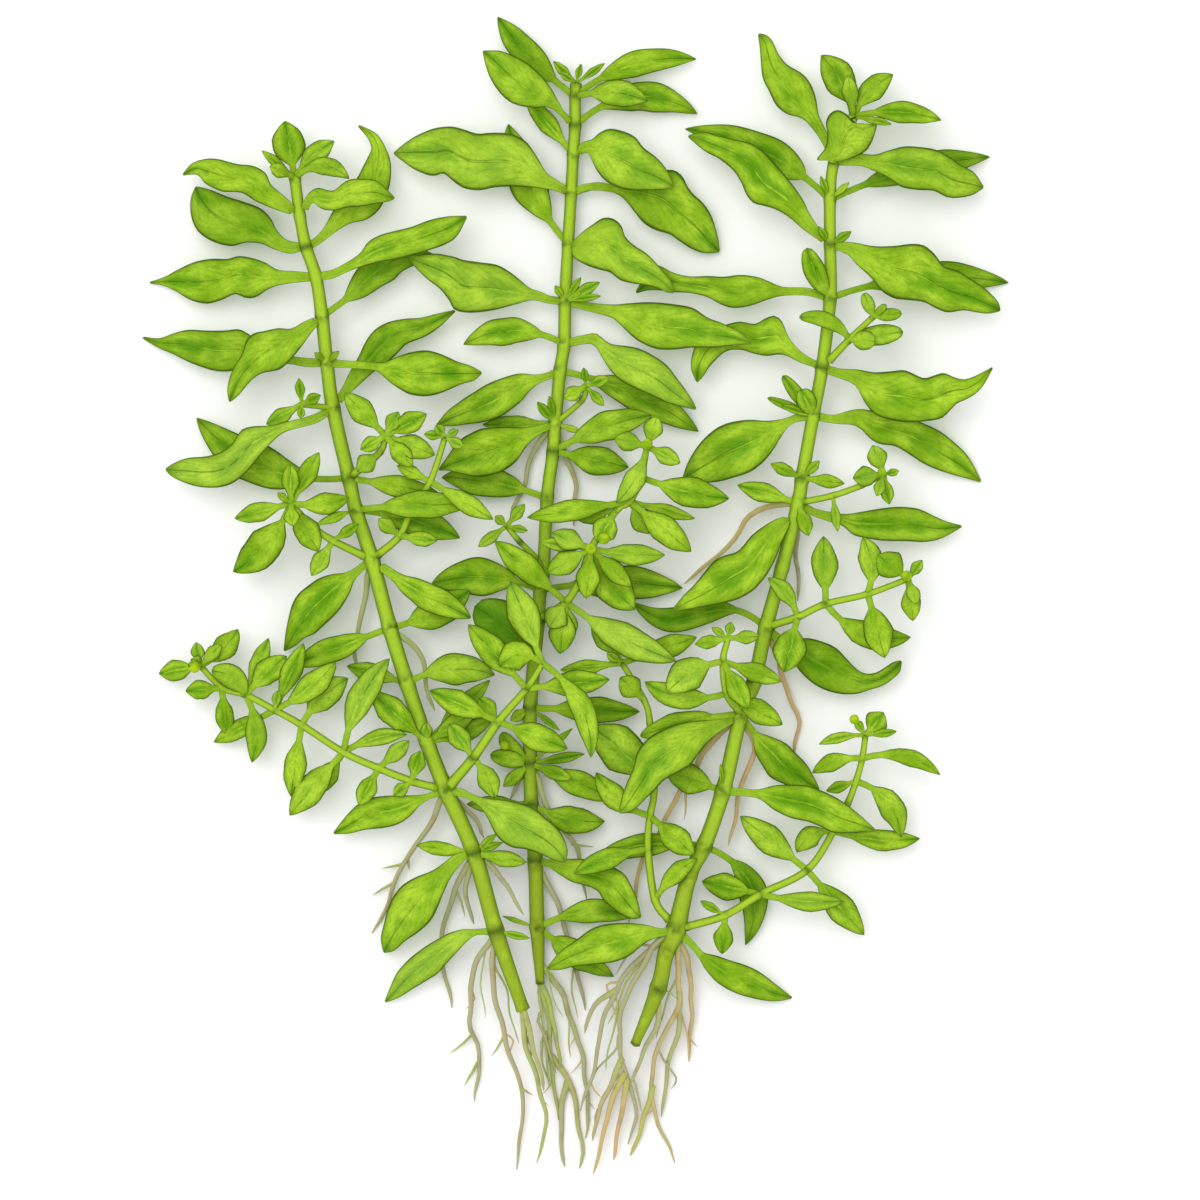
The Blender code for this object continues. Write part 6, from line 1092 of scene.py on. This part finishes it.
def addTube(mesh, middle, radii, sides, along, tone, seed):
    # a closed tube: a grid rolled round the path, welded along its seam and at both ends
    last = len(middle) - 1
    rows = []
    for number, point in enumerate(middle):
        heading = (middle[min(number + 1, last)] - middle[max(number - 1, 0)]).normalized()
        side = heading.cross(up).normalized()
        rows.append([point, side, side.cross(heading), radii[number], number])
    first, final = rows[0], rows[-1]
    out = (middle[0] - middle[1]).normalized() * radii[0] * 0.5
    end = (middle[-1] - middle[-2]).normalized() * radii[-1] * 0.5
    rows = [[first[0] + out, first[1], first[2], 0.0, 0]] + rows
    rows = rows + [[final[0] + end, final[1], final[2], 0.0, last]]
    count = len(rows) - 1
    grid = bmesh.ops.create_grid(mesh, x_segments=sides, y_segments=count, size=0.5)["verts"]
    for vert in grid:
        u = vert.co.x + 0.5
        point, side, normal, radius, number = rows[round((vert.co.y + 0.5) * count)]
        angle = math.tau * u
        spoke = side * math.sin(angle) - normal * math.cos(angle)
        vert.co = toPart(point + spoke * radius)
        mark(mesh, vert, across=abs(2 * u - 1), along=along[number])
        mark(mesh, vert, tone=tone[number], seed=seed[number])
    bmesh.ops.remove_doubles(mesh, verts=grid, dist=weld)
    bmesh.ops.recalc_face_normals(mesh, faces=facesOf(grid))


blade = {
    "stalkWidth": 1.3,
    "spread": 0.2,
    "stalkShare": 0.2,
    "fold": 0.16,
    "dome": 0.1,
    "ruffle": 0.055,
    "edgeWave": 0.05,
    "roll": 10.0,
    "twist": 14.0,
    "sharpness": 0.8,
    "belly": 0.48,
    "ribEnd": 0.86,
    "ribSides": 5,
    "ribDepth": 0.1,
    "tipRows": 1.35,
    "curveSpacing": 0.4,
}
drawnBlade = dict(blade, stalkShare=0.15)
# how finely a leaf is made and how thick it is; small leaves whose squared length is over
# squaredLength are made as finely as the large ones
fine = {"across": 14, "along": 44, "rib": 8, "thickness": 0.35, "squaredLength": 250}
coarse = {"across": 4, "along": 12, "rib": 6, "thickness": 0.28}


def leafHeight(base, heights, share):
    # through the base, the height of the middle and the height of the tip
    low = 2 * (share - 0.5) * (share - 1) * base.z
    high = 2 * share * (share - 0.5) * heights[1]
    return low + 4 * share * (1 - share) * heights[0] + high


def leafLine(base, leaf, swing=0.0):
    # the middle line of a leaf, from its node to its tip
    across, along, _, bow, *heights = leaf
    chord = Vector((across, along, 0))
    side = Vector((-along, across, 0)).normalized()

    def point(share):
        flat = base + chord * share
        hump = 4 * share * (1 - share)
        flat += side * (bow * hump + swing * math.sin(math.tau * share))
        return Vector((flat.x, flat.y, leafHeight(base, heights, share)))

    return point


def bladeShare(share, look):
    return max(0.0, (share - look["stalkShare"]) / (1 - look["stalkShare"]))


def halfWidth(share, width, look):
    stalkHalf = min(look["stalkWidth"], width * 0.4) / 2
    if share <= look["stalkShare"]:
        return stalkHalf
    along = bladeShare(share, look)
    power = math.log(0.5) / math.log(look["belly"])
    swell = math.sin(math.pi * along**power) ** look["sharpness"]
    return max(width / 2 * swell, stalkHalf * (1 - along))


def plainEdges(base, leaf, look, dice):
    # both edges of a smaller leaf at a share of its length, a little wavy
    point = leafLine(base, leaf, look.get("swing", 0.0))
    phases = [dice.uniform(0, math.tau) for _ in range(2)]
    waves = [dice.uniform(1.6, 2.8) for _ in range(2)]

    def edges(share):
        heading = point(min(share + 0.02, 1)) - point(max(share - 0.02, 0))
        side = heading.cross(up).normalized()
        onBlade = bladeShare(share, look)
        half = halfWidth(share, leaf[2], look)
        fade = look["edgeWave"] * math.sin(math.pi * min(1, onBlade))
        left, right = [
            half * (1 + fade * math.sin(math.tau * wave * onBlade + phase))
            for wave, phase in zip(waves, phases)
        ]
        middle = point(share)
        return middle - side * left, middle + side * right

    return edges


def alongCurve(points):
    # a place on the smooth curve through the points, by its share of the curve's length
    path = [point for point, _ in smoothPath(points, blade["curveSpacing"])]
    runs = [0.0]
    for first, second in zip(path, path[1:]):
        runs.append(runs[-1] + (second - first).length)

    def place(share):
        run = min(max(share, 0), 1) * runs[-1]
        number = max(1, next(n for n, value in enumerate(runs) if value >= run))
        part = (run - runs[number - 1]) / max(runs[number] - runs[number - 1], 1e-6)
        return path[number - 1].lerp(path[number], part)

    return place


def directionAt(nodes, node):
    above = Vector(nodes[max(node - 1, 0)][:3])
    below = Vector(nodes[min(node + 1, len(nodes) - 1)][:3])
    return (above - below).normalized()


def slant(heading, direction):
    # the cosine and sine between a stalk's heading and its stem's direction
    cosine = abs(heading.dot(direction))
    return cosine, max(math.sqrt(1 - cosine * cosine), leastSine)


def drawnEdges(base, outline, clearance, direction):
    # both edges of a large leaf, from where its stalk clears the stem to its tip
    left, right = [
        [Vector(((x - 600) / 5, (600 - y) / 5, 0)) for x, y in zip(edge[::2], edge[1::2])]
        for edge in outline
    ]
    right.append(left[-1])
    foot = Vector((base.x, base.y, 0))
    heading = ((left[0] + right[0]) / 2 - foot).normalized()
    cosine, sine = slant(heading, direction)
    half = blade["stalkWidth"] / 2
    away = (clearance + half * cosine) / sine
    start = foot + heading * away
    side = heading.cross(up) * half
    if clearance:
        left, right = [
            [point for point in edge if (point - start).dot(heading) > stemGap]
            for edge in (left, right)
        ]
    curves = alongCurve([start - side] + left), alongCurve([start + side] + right)
    share = away / ((left[-1] - foot).length + away)

    def edges(part):
        part = (part - share) / (1 - share)
        left, right = [curve(part) for curve in curves]
        spread = (left - right).normalized() * blade["spread"]
        return left + spread, right - spread

    return edges, share


def addLeaf(mesh, base, width, heights, edges, start, tone, detail, look, dice):
    seed = dice.random()
    roll = math.tan(math.radians(dice.uniform(-1, 1) * look["roll"]))
    twist = math.tan(math.radians(dice.uniform(-1, 1) * look["twist"]))
    phases = [dice.uniform(0, math.tau) for _ in range(2)]
    waves = [dice.uniform(1.8, 3.4) for _ in range(2)]
    count = detail["along"]
    rows = []
    for number in range(count + 1):
        share = 1 - (1 - start) * (1 - number / count) ** look["tipRows"]
        rows.append((share, bladeShare(share, look), *edges(share)))
    grid = bmesh.ops.create_grid(
        mesh, x_segments=detail["across"], y_segments=count, size=0.5
    )["verts"]
    faces = facesOf(grid)
    for vert in grid:
        u, v = vert.co.x + 0.5, vert.co.y + 0.5
        s = 2 * u - 1
        share, onBlade, left, right = rows[round(v * count)]
        half = (right - left).to_2d().length / 2
        fade = math.sin(math.pi * min(1, onBlade))
        hand = 0 if s < 0 else 1
        frill = math.sin(math.tau * waves[hand] * onBlade + phases[hand])
        lift = look["fold"] * abs(s) * half + look["dome"] * half * math.sin(math.pi * abs(s))
        lift += look["ruffle"] * width * s * s * frill * fade
        lift += s * half * (roll + twist * (onBlade - 0.5)) * min(1, onBlade * 3)
        lift += 0.25 * (1 - onBlade)
        flat = left.lerp(right, u)
        vert.co = toPart(Vector((flat.x, flat.y, leafHeight(base, heights, share) + lift)))
        mark(mesh, vert, across=u, along=share, tone=tone, seed=seed)
    bmesh.ops.remove_doubles(mesh, verts=grid, dist=weld)
    faces = [face for face in faces if face.is_valid]
    bmesh.ops.solidify(mesh, geom=faces, thickness=detail["thickness"] * mm)
    # the round stalk and midrib under the blade
    count = detail["rib"]
    path, radii, places = [], [], []
    for step in range(count + 1):
        share = start + (look["ribEnd"] - start) * step / count
        left, right = edges(share)
        middle = (left + right) / 2
        height = leafHeight(base, heights, share) - look["ribDepth"]
        path.append(Vector((middle.x, middle.y, height)))
        radii.append(min(look["stalkWidth"], width * 0.4) / 2 * (1.1 - 0.85 * (step / count)))
        places.append(share)
    values = [[value] * (count + 1) for value in (tone, seed)]
    addTube(mesh, path, radii, look["ribSides"], places, *values)


# leaves that are plainly paler or darker than the rest
leafTints = {
    "leaf_left_15_l": 0.45,
    "stem_left_small_8": 0.2,
    "shoot_left_13_9": -0.4,
    "leaf_middle_9_l": -0.2,
}
# painted light: a leaf's tone starts here, grows with how high its middle stands above its node, is
# scattered at random and is raised further on side shoots
leafTones = {"start": 0.45, "rise": 0.035, "scatter": 0.14, "shoots": 0.1}


def leafTone(base, middle, name, lift=0.0):
    # leaves that stand up towards the light are paler, those behind are darker
    dice = random.Random(name + "tone")
    scatter = dice.uniform(-leafTones["scatter"], leafTones["scatter"])
    tone = leafTones["start"] + leafTones["rise"] * (middle - base.z) + scatter + lift
    tone += leafTints.get(name, 0)
    return max(0.0, min(1.0, tone))


# small leaves that differ from the usual blade: round ones, and those with an uneven shape
roundShape = {"sharpness": 0.45, "stalkShare": 0.12, "ruffle": 0.03, "edgeWave": 0.02}
roundLeaves = (
    *[f"stem_right_small_{number}" for number in (12, 14, 15, 16, 17)],
    *[f"shoot_right_5_{number}" for number in range(6)],
    "stem_middle_small_28",
    "stem_middle_small_29",
)
leafShapes = {
    "stem_left_small_0": {"swing": -1},
    "shoot_left_13_9": dict(roundShape, stalkShare=0.16),
    "branch_left_19": dict(roundShape, stalkShare=0.08),
    "stem_middle_small_38": {"belly": 0.38},
    "stem_right_small_7": {"belly": 0.36},
    "stem_right_small_23": {"swing": -2.2},
    "stem_right_small_29": {"sharpness": 0.6, "stalkShare": 0.26},
    **{name: roundShape for name in roundLeaves},
}


def addSmallLeaf(mesh, base, leaf, name, detail, lift=0.0):
    look = dict(blade, **leafShapes.get(name, {}))
    dice = random.Random(name)
    edges = plainEdges(base, leaf, look, dice)
    width, heights = leaf[2], leaf[4:]
    tone = leafTone(base, heights[0], name, lift)
    addLeaf(mesh, base, width, heights, edges, 0.0, tone, detail, look, dice)


# the gap that a stalk keeps from its stem, and the leaf that starts in front of its stem
stemGap = 0.3
frontLeaf = "leaf_right_1_front"

# oldNode is the node where a stem starts to look old
stalk = {
    "spacing": 1.2,
    "swelling": 0.12,
    "knot": 0.75,
    "sides": 14,
    "slim": 0.93,
    "sunk": 0.6,
    "oldNode": 12,
    "paintLength": 20,
}


def addStalk(mesh, points, radii, ages):
    middle, thick, along, tone, seed = [], [], [], [], []
    run = 0.0
    for point, place in smoothPath(points, stalk["spacing"]):
        if middle:
            run += (point - middle[-1]).length
        below = int(min(place, len(points) - 2))
        share = place - below
        radius = (radii[below] + (radii[below + 1] - radii[below]) * share) * stalk["slim"]
        near = min((point - Vector(node)).length for node in points)
        knot = math.exp(-((near / radius / stalk["knot"]) ** 2))
        middle.append(point)
        thick.append(radius * (1 + stalk["swelling"] * knot))
        along.append(run / stalk["paintLength"])
        tone.append(knot)
        seed.append(ages[below] + (ages[below + 1] - ages[below]) * share)
    addTube(mesh, middle, thick, stalk["sides"], along, tone, seed)


twig = {"end": 0.65, "start": 0.9, "starts": {"shoot_left_13": 1.2, "shoot_right_8": 0.75}}


def buildTwig(name, axis, startRadius, replaced, leaves):
    axis = [Vector(point) for point in axis]
    count = len(axis) - 1
    narrowing = twig["end"] - startRadius
    radii = [startRadius + narrowing * step / count for step in range(count + 1)]
    mesh = newMesh()
    addStalk(mesh, axis, radii, [0.0] * (count + 1))
    finishPiece(name + "_twig", mesh, stemGreen, [replaced] if replaced else ())
    mesh = newMesh()
    for number, entry in enumerate(leaves):
        place, *leaf = entry if replaced else (count, *entry)
        addSmallLeaf(mesh, axis[place], leaf, f"{name}_{number}", coarse, leafTones["shoots"])
    finishPiece(name + "_leaves", mesh, leafGreen)


# root and rootlet are the radius at the start and at the tip
rootLook = {
    "root": (0.74, 0.38),
    "rootlet": (0.4, 0.15),
    "spacing": 1.6,
    "point": 0.12,
    "wiggle": 0.22,
    "sides": 6,
    "paintSteps": 12,
    "tan": {"stem_left": 0.4, "stem_middle": 0.45, "stem_right": 1.0},
}


def addRoot(mesh, points, stemName, label, start, tip, tint=None):
    # tint gives how tan and how fresh and green the root is
    dice = random.Random(f"{stemName}_{label}")
    path = smoothPath(points, rootLook["spacing"])
    count = len(path) - 1
    phase = [dice.uniform(0, math.tau) for _ in range(3)]
    rate = dice.uniform(0.5, 0.8)
    middle, radii = [], []
    for number, (spot, _) in enumerate(path):
        sway = rootLook["wiggle"] * min(1, number / 2)
        shift = math.sin(rate * number + phase[0]) + 0.6 * math.sin(1.9 * rate * number + phase[1])
        lift = 0.4 * math.sin(1.3 * rate * number + phase[2])
        place = spot + Vector((shift * sway, shift * sway * 0.2, lift * sway))
        place.z = max(place.z, origin.z + tip + 0.05)
        middle.append(place)
        point = min(1, 0.3 + (1 - number / count) / rootLook["point"])
        radii.append((start + (tip - start) * number / count) * point)
    if tint:
        tone, seed = [[value] * (count + 1) for value in tint]
    else:
        tone = [dice.random() * rootLook["tan"][stemName]] * (count + 1)
        fresh = dice.uniform(0, 1) ** 3
        seed = [fresh + (1 - fresh) * max(0, 1 - step / 4) * 0.8 for step in range(count + 1)]
    marks = [number / rootLook["paintSteps"] for number in range(count + 1)]
    addTube(mesh, middle, radii, rootLook["sides"], marks, tone, seed)


def buildRoots(name, roots, rootlets):
    mesh = newMesh()
    for kind, paths in (("root", roots), ("rootlet", rootlets)):
        for number, path in enumerate(paths):
            addRoot(mesh, path, name, f"{kind}_{number}", *rootLook[kind])
    thick = [place for root in roots for place, _ in smoothPath(root, 1)]
    for number, (tint, start, root) in enumerate(fineRoots[name]):
        # a fine strand grows out of the root nearest to a place just above its start
        above = Vector(root[0]) + Vector((0, 2, 0.2))
        nearest = min(thick, key=lambda place: (place - above).length)
        root = (nearest, *root)
        addRoot(mesh, root, name, f"fine_{number}", start, start / 2, rootTints[tint])
    finishPiece(name + "_roots", mesh, rootTan)


# the three stems with their leaves, small growth and roots
def buildStem(name, nodes, leaves, small, roots, rootlets):
    points = [Vector(node[:3]) for node in nodes]
    radii = [node[3] for node in nodes]
    oldNode = stalk["oldNode"]
    ages = [max(0.0, (n - oldNode) / (len(nodes) - oldNode)) for n in range(len(nodes))]
    mesh = newMesh()
    addStalk(mesh, points, radii, ages)
    finishPiece(name + "_stalk", mesh, stemGreen, [name])
    for leafName, ((node, width, *heights), *outline) in leaves.items():
        mesh = newMesh()
        base, direction = points[node], directionAt(nodes, node)
        clearance = radii[node] * stalk["sunk"]
        if leafName == frontLeaf:
            base, direction = base + up * (radii[node] + 2 * stemGap), up
            clearance = 0
        edges, start = drawnEdges(base, outline, clearance, direction)
        tone = leafTone(base, heights[0], leafName)
        dice = random.Random(leafName)
        addLeaf(mesh, base, width, heights, edges, start, tone, fine, drawnBlade, dice)
        finishPiece(leafName + "_blade", mesh, leafGreen, [leafName])
    mesh = newMesh()
    for number, (node, *leaf) in enumerate(small):
        detail = fine if leaf[0] ** 2 + leaf[1] ** 2 > fine["squaredLength"] else coarse
        addSmallLeaf(mesh, points[node], leaf, f"{name}_small_{number}", detail)
    finishPiece(name + "_small_leaves", mesh, leafGreen)
    for number, (stemName, axis, *tuft) in enumerate(tinyShoots):
        if stemName == name:
            buildTwig(f"{name}_tuft_{number}", axis, twig["end"], None, tuft)
    buildRoots(name, roots, rootlets)


for name, tables in stems.items():
    buildStem(name, *tables)
    print(name, "built")

# the side shoots
for name, (stemName, node, axis, *leaves) in shoots.items():
    nodes = stems[stemName][0]
    foot = Vector(nodes[node][:3])
    heading = (Vector(axis[0]) - foot).normalized()
    cosine, sine = slant(heading, directionAt(nodes, node))
    radius = twig["starts"].get(name, twig["start"])
    start = foot + heading * (nodes[node][3] * stalk["sunk"] + radius * cosine) / sine
    buildTwig(name, (start, *axis), radius, name, leaves)
print("side shoots built")

# small round buds at shoot tips: their place and radius
buds = {
    "branch_middle": ((-1.8, 10.2, 16.2, 1.1), (0.8, 12.2, 16.8, 1.2), (9.4, 31, 16, 1.1)),
    "branch_right": ((61, 4.8, 14.8, 1.1),),
    "branch_right_lower": ((50.7, -23.8, 12.6, 1),),
    "branch_left": ((-81, -13.4, 9.8, 1.2),),
    "shoot_right_8": ((56, 25.4, 17.4, 0.9),),
    "stem_middle": ((-19, -29, 7.2, 1),),
}
for name, places in buds.items():
    mesh = newMesh()
    for *place, radius in places:
        ball = bmesh.ops.create_icosphere(mesh, subdivisions=2, radius=radius * mm)["verts"]
        bmesh.ops.translate(mesh, verts=ball, vec=toPart(Vector(place)))
    finishPiece(name + "_buds", mesh, budYellow)
print("buds built")

# floor, light and camera
studio = {
    "floorColour": "FBFBFA",
    "floorWidth": 6.0,
    "roughness": 0.9,
    "gloss": 0.0,
    "worldStrength": 0.88,
    "lampPower": 15.5,
    "lampSize": 1.2,
    "lampPlace": (-0.35, 0.35, 1.8),
    "lens": 200.0,
    "sensor": 36.0,
    "photoWidth": 0.24,
    "cameraHeight": 0.008,
}
mesh = bmesh.new()
bmesh.ops.create_grid(mesh, x_segments=1, y_segments=1, size=studio["floorWidth"] / 2)
data = bpy.data.meshes.new("floor")
mesh.to_mesh(data)
mesh.free()
paper, paperShader, _ = newMaterial("paper", studio)
paperShader.inputs["Base Color"].default_value = colour(studio["floorColour"])
data.materials.append(paper)
floor = bpy.data.objects.new("floor", data)
bpy.context.scene.collection.objects.link(floor)

world = bpy.data.worlds.new("studio")
world.use_nodes = True
background = world.node_tree.nodes["Background"]
background.inputs["Color"].default_value = (1.0, 1.0, 1.0, 1.0)
background.inputs["Strength"].default_value = studio["worldStrength"]
bpy.context.scene.world = world
bpy.context.scene.view_settings.view_transform = "Standard"

lamp = bpy.data.lights.new("window", "AREA")
lamp.energy = studio["lampPower"]
lamp.size = studio["lampSize"]
window = bpy.data.objects.new("window", lamp)
window.location = studio["lampPlace"]
window.rotation_euler = (-Vector(studio["lampPlace"])).to_track_quat("-Z", "Y").to_euler()
bpy.context.scene.collection.objects.link(window)

lens = bpy.data.cameras.new("camera")
lens.lens = studio["lens"]
lens.sensor_width = studio["sensor"]
camera = bpy.data.objects.new("camera", lens)
away = studio["photoWidth"] * studio["lens"] / studio["sensor"]
camera.location = (-origin.x * mm, -origin.y * mm, studio["cameraHeight"] + away)
bpy.context.scene.collection.objects.link(camera)
bpy.context.scene.camera = camera
print("floor, light and camera set")
